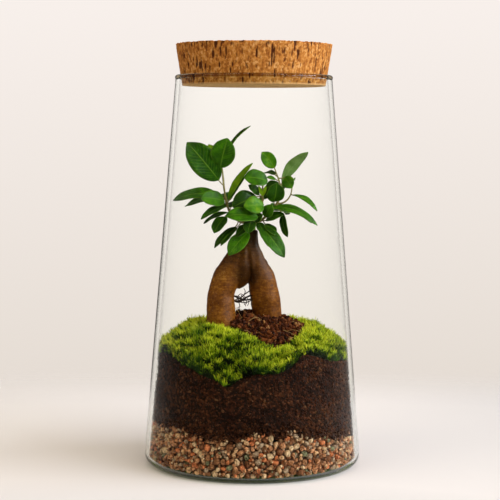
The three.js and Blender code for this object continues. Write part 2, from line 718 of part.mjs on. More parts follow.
const leftShoot = shoot(
  [
    [...stemFoot(STEM_FEET[0]), [-10.5, -1, 174.5, 1], [-15.8, -2, 179.5, 1], [-18.2, -2, 184.4, 0.9],
      [-19.8, -2, 191, 0.8], [-21, -1, 198, 0.7], [-21.7, 0, 205, 0.65], [-22.5, 1, 213, 0.5]],
  ],
  [
    { base: [-24.6, -3, 203.4], tip: [-46.8, -9, 230.4], width: 20, turn: 8 },
    { base: [-23.6, -7, 212.6], tip: [-18.4, -11, 233.4], width: 17.5, turn: -8 },
    { base: [-20.4, 4, 219], tip: [-2.2, 6, 242.3], width: 3.6, turn: -55, arch: 0.13 },
    { base: [-24.7, 5, 211], tip: [-32.8, 12, 228.7], width: 11, turn: 20 },
    { base: [-21.7, 1, 191.6], tip: [-57.6, -3, 189], width: 11.5, turn: 52, arch: 0.13 },
    { base: [-20.5, -5, 188.8], tip: [-37.2, -16, 191.5], width: 12, turn: 30 },
    { base: [-21, 5, 189.9], tip: [-50.4, 15, 184], width: 9, turn: 62 },
    { base: [-18.4, -4, 189], tip: [-0.6, -6, 216], width: 6, turn: -45 },
    { base: [-16.8, 0, 190.2], tip: [-6, 1.5, 206.6], width: 5, turn: -40 },
    { base: [-19, -4, 185.2], tip: [-37, -11, 176.2], width: 8.5, turn: 60 },
    { base: [-18, 2, 180.5], tip: [-35.8, 3, 172.2], width: 7, turn: 68 },
    { base: [-19.6, -6, 178], tip: [-27.6, -15, 166.6], width: 10, turn: 35 },
    { base: [-12.5, -4, 170.5], tip: [-27.7, -9, 155.6], width: 6.5, turn: 52 },
    { base: [-11.5, -5, 170.3], tip: [-23, -12, 157.5], width: 7, turn: 48 },
    { base: [-17, 8, 189], tip: [-30, 29, 190.5], width: 15, turn: 80 },
    { base: [-16, 6, 184], tip: [-22, 31, 184], width: 14, turn: 85 },
  ],
);

const centreShoot = shoot(
  [
    [...stemFoot(STEM_FEET[1]), [-0.7, -3.4, 174, 1], [2.4, -4, 179, 0.9], [5.6, -4, 184, 0.9],
      [6.4, -4.5, 190, 0.8], [6.4, -5, 195.4, 0.8], [6.6, -5, 200, 0.6]],
  ],
  [
    { base: [10.2, -6.5, 203.2], tip: [-6.9, -12, 206], width: 13.5, turn: 36 },
    { base: [3.4, -12, 177.8], tip: [-19.8, -21, 179.1], width: 12, turn: 40 },
    { base: [7.4, -11, 186.2], tip: [-6.8, -19, 185.6], width: 13, turn: 25 },
    { base: [1.9, -5.4, 192.4], tip: [-14.6, -10.4, 184.8], width: 15.5, turn: 10 },
    { base: [4.2, -3.4, 193.5], tip: [-3.6, -8, 200.2], width: 6.5, turn: 40 },
    { base: [7.4, -1, 190], tip: [12, 4, 198.4], width: 6.5, turn: -10 },
    { base: [6.2, -7, 192.5], tip: [3.6, -9, 200], width: 2.4, turn: 10 },
    { base: [6.6, -6.6, 192.5], tip: [8.8, -7.6, 199.7], width: 2.4, turn: 10 },
    { base: [-3.2, -8.5, 167], tip: [-17.3, -17, 151], width: 12.5, turn: 28 },
    { base: [-2, -5.5, 172.5], tip: [-12, -14, 164], width: 7.5, turn: 40 },
    { base: [-1.5, -8, 175], tip: [-4, -20, 167], width: 9, turn: 10 },
    { base: [0.4, -5.8, 174.8], tip: [6.6, -11.6, 179.8], width: 7, turn: -30 },
    { base: [4, 6, 190], tip: [9, 30, 198], width: 15, turn: 82 },
    { base: [2, 6, 181], tip: [-5, 29, 176], width: 14, turn: 88 },
  ],
);

const rightShoot = shoot(
  [
    [...stemFoot(STEM_FEET[2]), [6.5, 0.8, 175.5, 1], [12, 1, 181, 1], [17, 1, 187.3, 0.9],
      [19.8, 2, 195.2, 0.7], [18.5, 2, 202.3, 0.6], [16.8, 2, 207.5, 0.5]],
    [[16.6, 1, 186.6, 0.7], [22, 1, 187.9, 0.6], [26.2, 2, 192.3, 0.5], [27.7, 3, 198.5, 0.45]],
  ],
  [
    { base: [15.2, 2, 212.3], tip: [6, 0, 223.7], width: 10, turn: 10 },
    { base: [15.6, 4, 207.6], tip: [7.6, 11, 208.8], width: 7, turn: 70 },
    { base: [16, 1, 204.2], tip: [9.4, -2, 205.8], width: 3.6, turn: 50 },
    { base: [20.2, 3, 202], tip: [39.2, 4, 223.6], width: 10.4, turn: -142 },
    { base: [22.4, 0, 206], tip: [27.4, -7, 198.4], width: 9, turn: 5 },
    { base: [14.5, -1, 188], tip: [16.5, -9, 202], width: 13, turn: 12 },
    { base: [28.2, 2, 193.3], tip: [45.3, -6, 182.1], width: 5.4, turn: -52, arch: 0.15 },
    { base: [11.2, -6, 184.4], tip: [45, -14, 172.4], width: 7.8, turn: -50, arch: 0.17 },
    { base: [14, 3, 184.4], tip: [42, 5, 172.8], width: 5, turn: -55, arch: 0.15 },
    { base: [18, 1, 202], tip: [8.6, -1, 197.2], width: 7.5, turn: 35 },
    { base: [8.4, -5.2, 177.5], tip: [12.8, -10, 186.8], width: 8.5, turn: -15 },
    { base: [20.8, -3, 180.6], tip: [24.3, -8, 163.4], width: 6.4, turn: 40 },
    { base: [8.6, -4.6, 175], tip: [21.8, -9, 180], width: 8, turn: -54 },
    { base: [3.8, -7, 172], tip: [21.9, -15, 149.6], width: 12.5, turn: -30 },
    { base: [6.5, -3, 170], tip: [12.4, -7, 160.2], width: 8, turn: -35 },
    { base: [3.4, -5, 173.6], tip: [7.4, -11, 166.4], width: 6.5, turn: -20 },
    { base: [6.5, 2, 166], tip: [14, 8, 155.5], width: 8, turn: -30 },
    { base: [8.5, -3, 172.6], tip: [15.4, -12, 165], width: 8, turn: -45 },
    { base: [18, 8, 193], tip: [30, 28, 203], width: 15, turn: -75 },
    { base: [13, 7, 182], tip: [24, 30, 178], width: 14, turn: -82 },
  ],
);

const LEAF_LOOK = { color: 0x3f6f1e, roughness: 0.35, metalness: 0 };
addNode("shoot_left", leftShoot, LEAF_LOOK);
addNode("shoot_centre", centreShoot, LEAF_LOOK);
addNode("shoot_right", rightShoot, LEAF_LOOK);

export default part;
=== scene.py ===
"""A closed glass terrarium with a small fig tree: its looks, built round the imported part."""

import math
from functools import partial

import bmesh
import bpy
import numpy as np
from mathutils import Matrix, Vector, noise


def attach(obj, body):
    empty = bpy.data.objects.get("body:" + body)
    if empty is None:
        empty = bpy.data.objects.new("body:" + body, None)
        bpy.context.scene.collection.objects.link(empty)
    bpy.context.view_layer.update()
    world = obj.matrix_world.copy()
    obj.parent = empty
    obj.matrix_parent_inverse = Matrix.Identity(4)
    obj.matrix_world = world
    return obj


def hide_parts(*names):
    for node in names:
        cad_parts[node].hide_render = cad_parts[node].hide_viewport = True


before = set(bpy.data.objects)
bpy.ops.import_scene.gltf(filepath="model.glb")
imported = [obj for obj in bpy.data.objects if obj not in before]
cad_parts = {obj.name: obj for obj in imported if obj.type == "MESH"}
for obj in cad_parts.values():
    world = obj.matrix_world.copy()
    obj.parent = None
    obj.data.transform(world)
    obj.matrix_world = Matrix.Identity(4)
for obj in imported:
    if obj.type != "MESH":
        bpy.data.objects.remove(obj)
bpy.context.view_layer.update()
scene = bpy.context.scene
MM = 0.001

# The view: a long lens a metre away and a little above the middle of the jar, tilted down so that
# the moss is seen from above and the foot as a curve.
VIEW_PLACE, VIEW_TILT, VIEW_ROLL = (-0.00218, -1.08598, 0.23999), 4.549, 0.0051


def added(name, data):
    """A new object in the scene."""
    thing = bpy.data.objects.new(name, data)
    scene.collection.objects.link(thing)
    return thing


lens = bpy.data.cameras.new("view")
lens.sensor_width = 36
lens.lens = 109.494
camera = added("view", lens)
camera.matrix_world = (
    Matrix.Translation(VIEW_PLACE)
    @ Matrix.Rotation(math.radians(90 - VIEW_TILT), 4, "X")
    @ Matrix.Rotation(VIEW_ROLL, 4, "Z")
)
scene.camera = camera
scene.view_settings.view_transform = "Standard"


# The table: a wide sheet of matte pale paper, laid flat under the jar. Its edge fades out, so that
# no hard line shows between it and the wall behind the glass.
def linear(code):
    """An sRGB hex colour as linear red, green and blue with full alpha."""
    parts = [int(code[i : i + 2], 16) / 255 for i in (1, 3, 5)]
    return [*(c / 12.92 if c < 0.04045 else ((c + 0.055) / 1.055) ** 2.4 for c in parts), 1]


def feed(node, inputs):
    """Gives a node's inputs values, or links them to a socket or the first output of a node."""
    for key, value in inputs.items():
        if isinstance(value, bpy.types.Node):
            value = value.outputs[0]
        if isinstance(value, bpy.types.NodeSocket):
            node.id_data.links.new(value, node.inputs[key])
        else:
            node.inputs[key].default_value = value


def add_node(tree, kind, inputs=None, stops=(), **settings):
    """Adds a node with its inputs, its settings and, for a ramp, its stops (position, colour)."""
    node = tree.nodes.new("ShaderNode" + kind)
    for name, value in settings.items():
        setattr(node, name, value)
    feed(node, inputs or {})
    for number, (position, code) in enumerate(stops):
        elements = node.color_ramp.elements
        element = elements[number] if number < 2 else elements.new(position)
        element.position = position
        element.color = linear(code)
    return node


def new_material(name, roughness, gloss=0.5):
    """A material, what adds nodes to it, its main shader, and the places on its piece."""
    material = bpy.data.materials.new(name)
    material.use_nodes = True
    shader = material.node_tree.nodes["Principled BSDF"]
    feed(shader, {"Roughness": roughness, "Specular IOR Level": gloss})
    add = partial(add_node, material.node_tree)
    return material, add, shader, add("TexCoord").outputs["Object"]


def grain(millimetres):
    """The scale of a pattern with cells of this size, for places in metres."""
    return 1 / (millimetres * MM)


def as_mesh(name, shape):
    """The mesh of a shape, which is then freed."""
    mesh = bpy.data.meshes.new(name)
    shape.to_mesh(mesh)
    shape.free()
    return mesh


TABLE_HALF, FADE_START, FADE_END = 0.9, 0.23, 0.45  # in metres
sheet = bmesh.new()
bmesh.ops.create_grid(sheet, x_segments=8, y_segments=8, size=TABLE_HALF)
table = added("table", as_mesh("table", sheet))

# Matte pale paper: no gloss, faint clouds half a metre wide, and painted shade that greys it in
# front and on the right, where the lamps light it most.
paper, add, shader, place = new_material("matte_paper", 0.9, 0.1)
clouds = add("TexNoise", {"Vector": place, "Scale": grain(455), "Detail": 2.0})
tint = add("ValToRGB", {0: clouds}, [(0.3, "#e7e4e2"), (0.7, "#edeae8")])
side = add("SeparateXYZ", {0: place})
front = add("MapRange", {0: side.outputs[1], 1: -0.06, 2: -0.2})
right = add("MapRange", {0: side.outputs[0], 1: 0.06, 2: 0.26, 4: 0.6})
# Painted shade: the paper is greyed where the lamps' pools fall.
lamp_pool_shade = add("Math", {0: front, 1: right}, operation="MAXIMUM")
colour = add("Mix", {0: lamp_pool_shade, 6: tint, 7: linear("#c9c9c9")}, data_type="RGBA")
flat = add("Mapping", {"Vector": place, "Scale": (0.5, 1, 1)})
far = add("VectorMath", {0: flat}, operation="LENGTH").outputs["Value"]
solid = add(
    "MapRange", {0: far, 1: FADE_START, 2: FADE_END, 3: 1.0, 4: 0.0},
    interpolation_type="SMOOTHSTEP",
)
feed(shader, {"Base Color": colour.outputs[2], "Alpha": solid})
table.data.materials.append(paper)


# The jar: one piece of clear blown glass with a thick flat foot, a straight wall that narrows
# upwards and a rounded, fire-polished rim. It stands loose on its foot. Sizes are in mm.
JAR_HEIGHT, RIM_RADIUS, WALL_SLOPE, WALL, BASE = 278, 55.4, 0.0818, 3, 3.2
FOOT_ROUNDING, INNER_ROUNDING, RIM_BEAD = 7.8, 4.8, 0.6
RIM_ROUNDING = (WALL + RIM_BEAD) / 2
# The first pair is where the bead of the rim is painted with a reflection of the cork.
RIM_REFLECTION, FOOT_TINT = (275.4, 276), (5.8, 3.4)  # heights where each tint starts and is full
JAR_STEPS = 160
WALL_ANGLE = math.atan(WALL_SLOPE)


def outer_wall(z):
    """Radius of the jar's outer face at a height."""
    return RIM_RADIUS + (JAR_HEIGHT - z) * WALL_SLOPE


FOOT_CENTRE = outer_wall(FOOT_ROUNDING * (1 + math.sin(WALL_ANGLE)))
FOOT_CENTRE -= FOOT_ROUNDING * math.cos(WALL_ANGLE)
INNER_START = BASE + INNER_ROUNDING * (1 + math.sin(WALL_ANGLE))
INNER_CENTRE = outer_wall(INNER_START) - WALL - INNER_ROUNDING * math.cos(WALL_ANGLE)


def arc(radius, z, bend, start, end, steps):
    """Points of a bend of the jar's profile; the angles are in radians."""
    angles = [start + (end - start) * i / steps for i in range(steps + 1)]
    return [(radius + bend * math.cos(a), z + bend * math.sin(a)) for a in angles]


def turned(profile, steps):
    """A closed shape spun round the upright axis from its (radius, height) profile."""
    shape = bmesh.new()
    line = [shape.verts.new((radius, 0, z)) for radius, z in profile]
    edges = [shape.edges.new(pair) for pair in zip(line, line[1:])]
    bmesh.ops.spin(
        shape, geom=line + edges, axis=(0, 0, 1), angle=2 * math.pi, steps=steps, use_merge=True
    )
    bmesh.ops.remove_doubles(shape, verts=shape.verts, dist=0.001)
    bmesh.ops.recalc_face_normals(shape, faces=shape.faces)
    return shape


def finish_piece(name, mesh, materials, slot, *nodes, smooth=True):
    """Makes a piece of a mesh in millimetres and puts it in the place of CAD nodes."""
    if isinstance(mesh, bmesh.types.BMesh):
        mesh = as_mesh(name, mesh)
    mesh.transform(Matrix.Scale(MM, 4))
    if smooth:
        mesh.shade_smooth()
    for material in materials:
        mesh.materials.append(material)
    piece = added(name, mesh)
    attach(piece, "root")
    if nodes:
        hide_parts(*nodes)
    return piece


EDGE = 0.4  # a ring this close to each bend keeps the flat foot and the straight wall flat
foot_bend = arc(FOOT_CENTRE, FOOT_ROUNDING, FOOT_ROUNDING, -math.pi / 2, WALL_ANGLE, 12)
rim_bend = arc(
    RIM_RADIUS + RIM_BEAD - RIM_ROUNDING, JAR_HEIGHT - RIM_ROUNDING, RIM_ROUNDING,
    -math.pi / 5, math.pi + WALL_ANGLE, 14,
)
inner_bend = arc(INNER_CENTRE, BASE + INNER_ROUNDING, INNER_ROUNDING, WALL_ANGLE, -math.pi / 2, 10)
jar_profile = [
    (0, 0),
    (FOOT_CENTRE - EDGE, 0),
    *foot_bend,
    (outer_wall(foot_bend[-1][1] + EDGE), foot_bend[-1][1] + EDGE),
    (outer_wall(rim_bend[0][1] - 2 * EDGE), rim_bend[0][1] - 2 * EDGE),
    (outer_wall(rim_bend[0][1] - EDGE), rim_bend[0][1] - EDGE),
    *rim_bend,
    (outer_wall(rim_bend[-1][1] - EDGE) - WALL, rim_bend[-1][1] - EDGE),
    (outer_wall(rim_bend[-1][1] - 2 * EDGE) - WALL, rim_bend[-1][1] - 2 * EDGE),
    (outer_wall(INNER_START + EDGE) - WALL, INNER_START + EDGE),
    *inner_bend,
    (INNER_CENTRE - EDGE, BASE),
    (0, BASE),
]

# Clear soda-lime glass: sharp reflections, colourless through the wall and dark green through the
# foot. The bead of the rim is painted straw-brown, a painted reflection of the cork that sits in
# it.
GLASS_IOR = 1.5
glass, add, shader, place = new_material("clear_soda_lime_glass", 0.0)
up = add("SeparateXYZ", {0: place})
bead, foot = (
    add("MapRange", {0: up.outputs[2], 1: start * MM, 2: full * MM})
    for start, full in (RIM_REFLECTION, FOOT_TINT)
)
thick = add("Math", {0: bead, 1: foot}, operation="MAXIMUM")
foot_tint = add("Mix", {0: thick, 6: linear("#ffffff"), 7: linear("#4e6426")}, data_type="RGBA")
# Painted reflection: the bead takes the cork's straw-brown over the foot's tint.
foot_tint_and_bead_reflection = add("Mix", {0: bead, 6: foot_tint.outputs[2], 7: linear("#b8a27e")}, data_type="RGBA")
shine = add("Mix", {0: bead, 6: linear("#303030"), 7: linear("#8c8c8c")}, data_type="RGBA")
feed(shader, {
    "Base Color": foot_tint_and_bead_reflection.outputs[2], "Specular Tint": shine.outputs[2],
    "Transmission Weight": 1.0, "IOR": GLASS_IOR,
})
# The lamps shine straight through the glass on what it holds and on the table.
ray = add("LightPath")
open_glass = add("BsdfTransparent", {"Color": linear("#f7faf7")})
soft = add(
    "Math", {0: ray.outputs["Is Shadow Ray"], 1: ray.outputs["Is Diffuse Ray"]},
    operation="MAXIMUM",
)
# The inner face mirrors the room only weakly, which counts for nothing next to the bright edges.
slope = add("LayerWeight", {"Blend": 0.5})
facing = add("Math", {0: slope.outputs["Facing"], 1: 0.225}, operation="LESS_THAN")
mirrored = add("Math", {0: ray.outputs["Glossy Depth"], 1: 0.5}, operation="GREATER_THAN")
inside = add("NewGeometry").outputs["Backfacing"]
again = add("Math", {0: facing, 1: mirrored}, operation="MULTIPLY")
weak = add("Math", {0: again, 1: inside}, operation="MULTIPLY")
dull = add("BsdfTransparent", {"Color": linear("#8f8f8f")})
clear = add("MixShader", {0: weak, 1: shader, 2: dull})
# Towards the sides the walls mirror the pale room about as brightly as it shows through them.
mirror = add("Fresnel", {"IOR": GLASS_IOR})
bent = add("BsdfRefraction", {"IOR": GLASS_IOR, "Roughness": 0.0})
sideways = add("MapRange", {0: mirror, 1: 0.25, 2: 0.5, 3: 0.75, 4: 0.0})
plain = add("Math", {0: 1.0, 1: thick}, operation="SUBTRACT")
even = add("Math", {0: sideways, 1: plain}, operation="MULTIPLY")
walls = add("MixShader", {0: even, 1: clear, 2: bent})
lit = add("MixShader", {0: soft, 1: walls, 2: open_glass})
green = add("VolumeAbsorption", {"Color": linear("#b6c4ba"), "Density": 41.0})
feed(glass.node_tree.nodes["Material Output"], {"Surface": lit, "Volume": green})
finish_piece("jar_glass", turned(jar_profile, JAR_STEPS), [glass], "glass", "glass_jar")


# The gravel: crushed lava and river stone, mostly 4 to 6 mm, poured in first to drain the soil, so
# it lies loose against the glass. Its upper edge there: (degrees round the jar, height).
GRAVEL_AT_GLASS = [
    (-180, 32), (-140, 30), (-100, 34), (-65, 35.5), (-43, 33.5), (-23, 31.5), (-9, 30.5),
    (2, 34.5), (20, 34), (36, 31), (54, 27), (70, 25.5), (105, 29), (145, 33), (180, 32),
]
PLAY = 0.15  # between the contents and the glass
GRAVEL_DEPTH = 6  # of the layer of single stones, inwards from the glass
draw = np.random.default_rng(5)


def inner_wall(z):
    """Radius of the glass's inner face at a height or at an array of heights."""
    z = np.asarray(z, float)
    sunk = np.minimum(0, z - BASE - INNER_ROUNDING)
    bend = INNER_CENTRE + np.sqrt(np.maximum(0, INNER_ROUNDING**2 - sunk**2))
    return np.where(z < INNER_START, bend, outer_wall(z) - WALL)


def held_in(points):
    """Points, pushed back from the glass where they would touch it."""
    points[:, 2] = np.maximum(points[:, 2], BASE + PLAY)
    far = np.hypot(points[:, 0], points[:, 1])
    shrink = np.minimum(1, (inner_wall(points[:, 2]) - PLAY) / np.maximum(far, 0.01))
    points[:, :2] *= shrink[:, None]
    return points


def around(degrees, radius, z):
    """A place round the jar's axis, 0 degrees at -Y and 90 at +X."""
    turn = math.radians(degrees)
    return radius * math.sin(turn), -radius * math.cos(turn), z


def parts_of(shape):
    """Corners and faces of a shape."""
    corners = np.array([v.co for v in shape.verts])
    return corners, [[v.index for v in face.verts] for face in shape.faces]


def crumbled(shape, seed, roughness):
    """Corners and faces of a small shape, its corners shifted by random shares of their size."""
    shift = np.random.default_rng(seed)
    corners, faces = parts_of(shape)
    corners *= 1 + roughness * (shift.random((len(corners), 1)) - 0.5)
    return corners, faces


def chipped(shape, seed, cuts, depth):
    """Corners and faces of a round shape, cut flat on many sides like a crushed stone."""
    row = np.random.default_rng(seed)
    corners, faces = parts_of(shape)
    for _ in range(cuts):
        way = row.normal(size=3)
        way /= np.linalg.norm(way)
        over = corners @ way - depth - 0.35 * row.random()
        corners -= np.maximum(0, over)[:, None] * way
    return corners, faces


def strewn(name, patterns, spots, foot_shade=0.0):
    """One mesh of many copies at spots (pattern number, matrix, tone); the last argument paints
    their feet darker, as shade.
    """
    corners, faces, tones, count = [], [], [], 0
    for number, matrix, tone in spots:
        own_corners, own_faces = patterns[number]
        turn = np.array(matrix)
        corners.append(own_corners @ turn[:3, :3].T + turn[:3, 3])
        faces.extend([[count + i for i in face] for face in own_faces])
        tones.append(tone - foot_shade * (1 - np.clip(own_corners[:, 2], 0, 1)))
        count += len(own_corners)
    mesh = bpy.data.meshes.new(name)
    mesh.from_pydata(held_in(np.concatenate(corners)).tolist(), [], faces)
    mesh.attributes.new("tone", "FLOAT", "POINT").data.foreach_set("value", np.concatenate(tones))
    return mesh


def tumbled(row):
    """A random turn."""
    a, b, c = row.random(3) * 2 * math.pi
    return Matrix.Rotation(a, 4, "X") @ Matrix.Rotation(b, 4, "Y") @ Matrix.Rotation(c, 4, "Z")


def joined(*meshes):
    """One shape of several meshes."""
    whole = bmesh.new()
    for mesh in meshes:
        whole.from_mesh(mesh)
    return whole


JAR_MIDDLE = 70  # radius at which the line's waves are measured


def gravel_line(degrees):
    """Height of the ragged line between gravel and soil on the glass."""
    way = Vector(around(degrees, JAR_MIDDLE, 0))
    heaps, stones = noise.noise(way / 11), noise.noise(way / 3.7)
    return np.interp(degrees, *zip(*GRAVEL_AT_GLASS)) + 3 * heaps + 2.4 * stones


round_shape = bmesh.new()
bmesh.ops.create_icosphere(round_shape, subdivisions=2, radius=1)
stone_patterns = [chipped(round_shape, seed, cuts=11, depth=0.5) for seed in range(14)]
round_shape.free()
round_shape = bmesh.new()
bmesh.ops.create_icosphere(round_shape, subdivisions=1, radius=1)
crumb_patterns = [crumbled(round_shape, 40 + seed, roughness=0.7) for seed in range(10)]
round_shape.free()

LARGEST_STONE, SMALLEST_STONE, STONE_TRIES = 3.2, 0.9, 28000
BIG_STONE = 1.75  # smaller stones take the plainer crumb shapes
STONE_GAP = 0.7  # nearest two stones may lie, as a share of their sizes together
big_stones, small_stones = [], []
# The largest stones are laid first, and each lies where it doesn't reach far into another.
taken = np.zeros((STONE_TRIES, 4))
count = 0
for attempt in range(STONE_TRIES):
    size = LARGEST_STONE + (SMALLEST_STONE - LARGEST_STONE) * (attempt / STONE_TRIES) ** 0.8
    size *= 0.85 + 0.3 * draw.random()
    degrees = draw.random() * 360 - 180
    top = gravel_line(degrees) + 0.8 * draw.random()
    z = BASE + size * 0.6 + (top - BASE - size * 1.2) * draw.random()
    radius = float(inner_wall(z)) - size * 0.7 - GRAVEL_DEPTH * draw.random() ** 2
    spot = np.array([*around(degrees, radius, z), size])
    others = taken[:count]
    apart = ((others[:, :3] - spot[:3]) ** 2).sum(axis=1)
    if np.any(apart < (STONE_GAP * (others[:, 3] + size)) ** 2):
        continue
    taken[count] = spot
    count += 1
    squash = Matrix.Diagonal((size, size * 0.88, size * 0.76, 1))
    matrix = Matrix.Translation(spot[:3]) @ tumbled(draw) @ squash
    if size > BIG_STONE:
        big_stones.append((count % len(stone_patterns), matrix, draw.random()))
    else:
        small_stones.append((count % len(crumb_patterns), matrix, draw.random()))

# Crushed lava and river stone: dry and dull, each grain of its own colour, its speckle darker in
# the small hollows of its bump, partly dust and partly painted shade. The speckle of the real
# stones is too fine to show and is drawn 1.1 mm wide.
gravel_stone, add, shader, place = new_material("crushed_mixed_gravel", 0.82, 0.2)
tone = add("Attribute", attribute_name="tone").outputs["Fac"]
hue = add(
    "ValToRGB", {0: tone},
    [(0, "#dd9a6c"), (0.15, "#f2bd8c"), (0.3, "#b67d56"), (0.43, "#ea8a58"), (0.52, "#c2a284"),
     (0.65, "#fbd2a4"), (0.76, "#8e5a3a"), (0.87, "#928e6a"), (0.93, "#eaa476")],
)
hue.color_ramp.interpolation = "CONSTANT"
speckle = add("TexNoise", {"Vector": place, "Scale": grain(1.111), "Detail": 4.0})
shade = add("ValToRGB", {0: speckle}, [(0.38, "#67564a"), (0.58, "#ffffff")])
colour = add("Mix", {0: 0.75, 6: hue, 7: shade}, data_type="RGBA", blend_type="MULTIPLY")
bump = add("Bump", {"Height": speckle, "Strength": 0.6, "Distance": 0.6 * MM})
feed(shader, {"Base Color": colour.outputs[2], "Normal": bump})
grains = joined(
    strewn("big_stones", stone_patterns, big_stones),
    strewn("small_stones", crumb_patterns, small_stones),
)
finish_piece("gravel_grains", grains, [gravel_stone], "gravel", "gravel_bed", smooth=False)

# The rest of the bed is only seen between the grains, so it is one plain body, its dark brown
# partly dust and partly painted shade of the deeper stones.
bed_top = min(height for _, height in GRAVEL_AT_GLASS)
core_profile = [
    (0, BASE + 1),
    (float(inner_wall(BASE + 3)) - GRAVEL_DEPTH, BASE + 1),
    (float(inner_wall(bed_top)) - GRAVEL_DEPTH + 2.5, bed_top),
    (0, bed_top + 4),
]


def mottled(name, roughness, width, stops):
    """A material in clouds of this width in mm."""
    material, add, shader, place = new_material(name, roughness)
    cloud = add("TexNoise", {"Vector": place, "Scale": grain(width), "Detail": 3.0})
    feed(shader, {"Base Color": add("ValToRGB", {0: cloud}, stops)})
    return material


# Dust and painted shade: the deeper stones, dark brown.
gravel_dark = mottled("gravel_dust_and_shade", 0.95, 1.667, [(0.3, "#4a3425"), (0.7, "#7d5f49")])
finish_piece("gravel_core", turned(core_profile, 64), [gravel_dark], "gravel", smooth=False)


# The soil: moist dark potting soil with bits of bark and coir, filled in over the gravel and
# pressed against the glass. Its edge is thin where it meets the gravel: LINE_REACH is how high up,
# LINE_DEPTH how far it stands back.
LINE_REACH, LINE_DEPTH, LINE_CRUMBS = 5, 2.4, 3000


def finer(node, levels):
    """A copy of a CAD node in millimetres, merged and with each face cut up evenly."""
    shape = bmesh.new()
    shape.from_mesh(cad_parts[node].data)
    bmesh.ops.scale(shape, vec=(1 / MM, 1 / MM, 1 / MM), verts=shape.verts)
    bmesh.ops.remove_doubles(shape, verts=shape.verts, dist=0.01)
    for _ in range(levels):
        bmesh.ops.subdivide_edges(shape, edges=shape.edges, cuts=1, use_grid_fill=True)
    bmesh.ops.triangulate(shape, faces=[face for face in shape.faces if len(face.verts) > 4])
    shape.normal_update()
    return shape


def roughen(shape, sizes, sink):
    """Moves the corners along their normals by noise of each (grain size, height)."""
    for vert in shape.verts:
        shift = sum(height * noise.noise(vert.co / size) for size, height in sizes)
        vert.co += vert.normal * (shift - sink)


def spots_on(shape, count, seed, allowed):
    """Random points on the faces of a shape that are allowed, with the faces' normals."""
    faces = [face for face in shape.faces if allowed(face)]
    row = np.random.default_rng(seed)
    areas = np.array([face.calc_area() for face in faces])
    chosen = row.choice(len(faces), size=count, p=areas / areas.sum())
    found = []
    for number in chosen:
        corners = [v.co for v in faces[number].verts]
        a, b = row.random(2)
        if a + b > 1:
            a, b = 1 - a, 1 - b
        pick = 2 if len(corners) == 3 or row.random() < 0.5 else 3
        first = 1 if pick == 2 else 2
        point = corners[0] + (corners[first] - corners[0]) * a + (corners[pick] - corners[0]) * b
        found.append((point, faces[number].normal.copy()))
    return found


def crumbs_on(shape, count, seed, smallest, largest, allowed):
    """Crumbs that lie half sunk in a surface."""
    row = np.random.default_rng(seed)
    spots = []
    for number, (point, normal) in enumerate(spots_on(shape, count, seed, allowed)):
        size = smallest + (largest - smallest) * row.random() ** 2.5
        flat = Matrix.Diagonal((size, size * 0.8, size * 0.6, 1))
        here = Matrix.Translation(point + normal * size * 0.2) @ tumbled(row) @ flat
        spots.append((number % len(crumb_patterns), here, row.random()))
    return spots


def one_tone(mesh, value):
    """A mesh, with all its corners set to one tone."""
    tones = np.full(len(mesh.vertices), float(value))
    mesh.attributes.new("tone", "FLOAT", "POINT").data.foreach_set("value", tones)
    return mesh


soil_shape = finer("soil_layer", levels=3)
roughen(soil_shape, [(2.6, 0.5), (1.1, 0.5)], sink=-0.2)
soil_crumbs = crumbs_on(
    soil_shape, count=2600, seed=61, smallest=0.5, largest=1.5,
    allowed=lambda face: abs(face.normal.z) < 0.75,
)
for vert, point in zip(soil_shape.verts, held_in(np.array([v.co for v in soil_shape.verts]))):
    # Where the soil meets the gravel its side stands back, and crumbs and stones fill the gap.
    above = (point[2] - gravel_line(math.degrees(math.atan2(point[0], -point[1])))) / LINE_REACH
    back = LINE_DEPTH * (1 - min(1, max(0, above)))
    vert.co = (*(point[:2] * (1 - back / np.hypot(*point[:2]))), point[2])
draw = np.random.default_rng(62)
for number in range(LINE_CRUMBS):
    degrees = draw.random() * 360 - 180
    size = 0.6 + 1.1 * draw.random() ** 2
    z = gravel_line(degrees) - 1.5 + (LINE_REACH + 1.5) * draw.random()
    radius = float(inner_wall(z)) - size * 0.7 - 2 * draw.random() ** 2
    here = Matrix.Translation(around(degrees, radius, z))
    flat = Matrix.Diagonal((size, size * 0.8, size * 0.7, 1))
    soil_crumbs.append((number % len(crumb_patterns), here @ tumbled(draw) @ flat, draw.random()))
soil_mesh = one_tone(as_mesh("soil_body", soil_shape), 0)
soil_whole = joined(soil_mesh, strewn("soil_crumbs", crumb_patterns, soil_crumbs))

# Moist peat: almost black, with red-brown crumbs of bark, paler fibres and a dull broken surface.
# Its own grit is too fine to show and is drawn 1.1 to 1.2 mm wide; its damp patches are 18 mm.
peat, add, shader, place = new_material("moist_potting_soil", 0.85, 0.12)
tone = add("Attribute", attribute_name="tone").outputs["Fac"]
cells = add("TexVoronoi", {"Vector": place, "Scale": grain(1.22)})
pick = add("SeparateColor", {0: cells.outputs["Color"]})
specks = add(
    "ValToRGB", {0: pick},
    [(0, "#1d0e06"), (0.35, "#2c160b"), (0.62, "#422210"), (0.83, "#542d18"), (0.94, "#653a22"),
     (0.985, "#7d5638")],
)
specks.color_ramp.interpolation = "CONSTANT"
bits = add(
    "ValToRGB", {0: tone},
    [(0.02, "#1f0f06"), (0.3, "#341a0d"), (0.65, "#4a2713"), (0.88, "#5c341c"), (0.99, "#744c32")],
)
is_crumb = add("Math", {0: tone, 1: 0.01}, operation="GREATER_THAN")
mixed = add("Mix", {0: is_crumb, 6: specks, 7: bits}, data_type="RGBA")
clods = add("TexNoise", {"Vector": place, "Scale": grain(18.18), "Detail": 3.0})
damp_and_shade = add("ValToRGB", {0: clods}, [(0.35, "#c6b9b0"), (0.65, "#ffffff")])
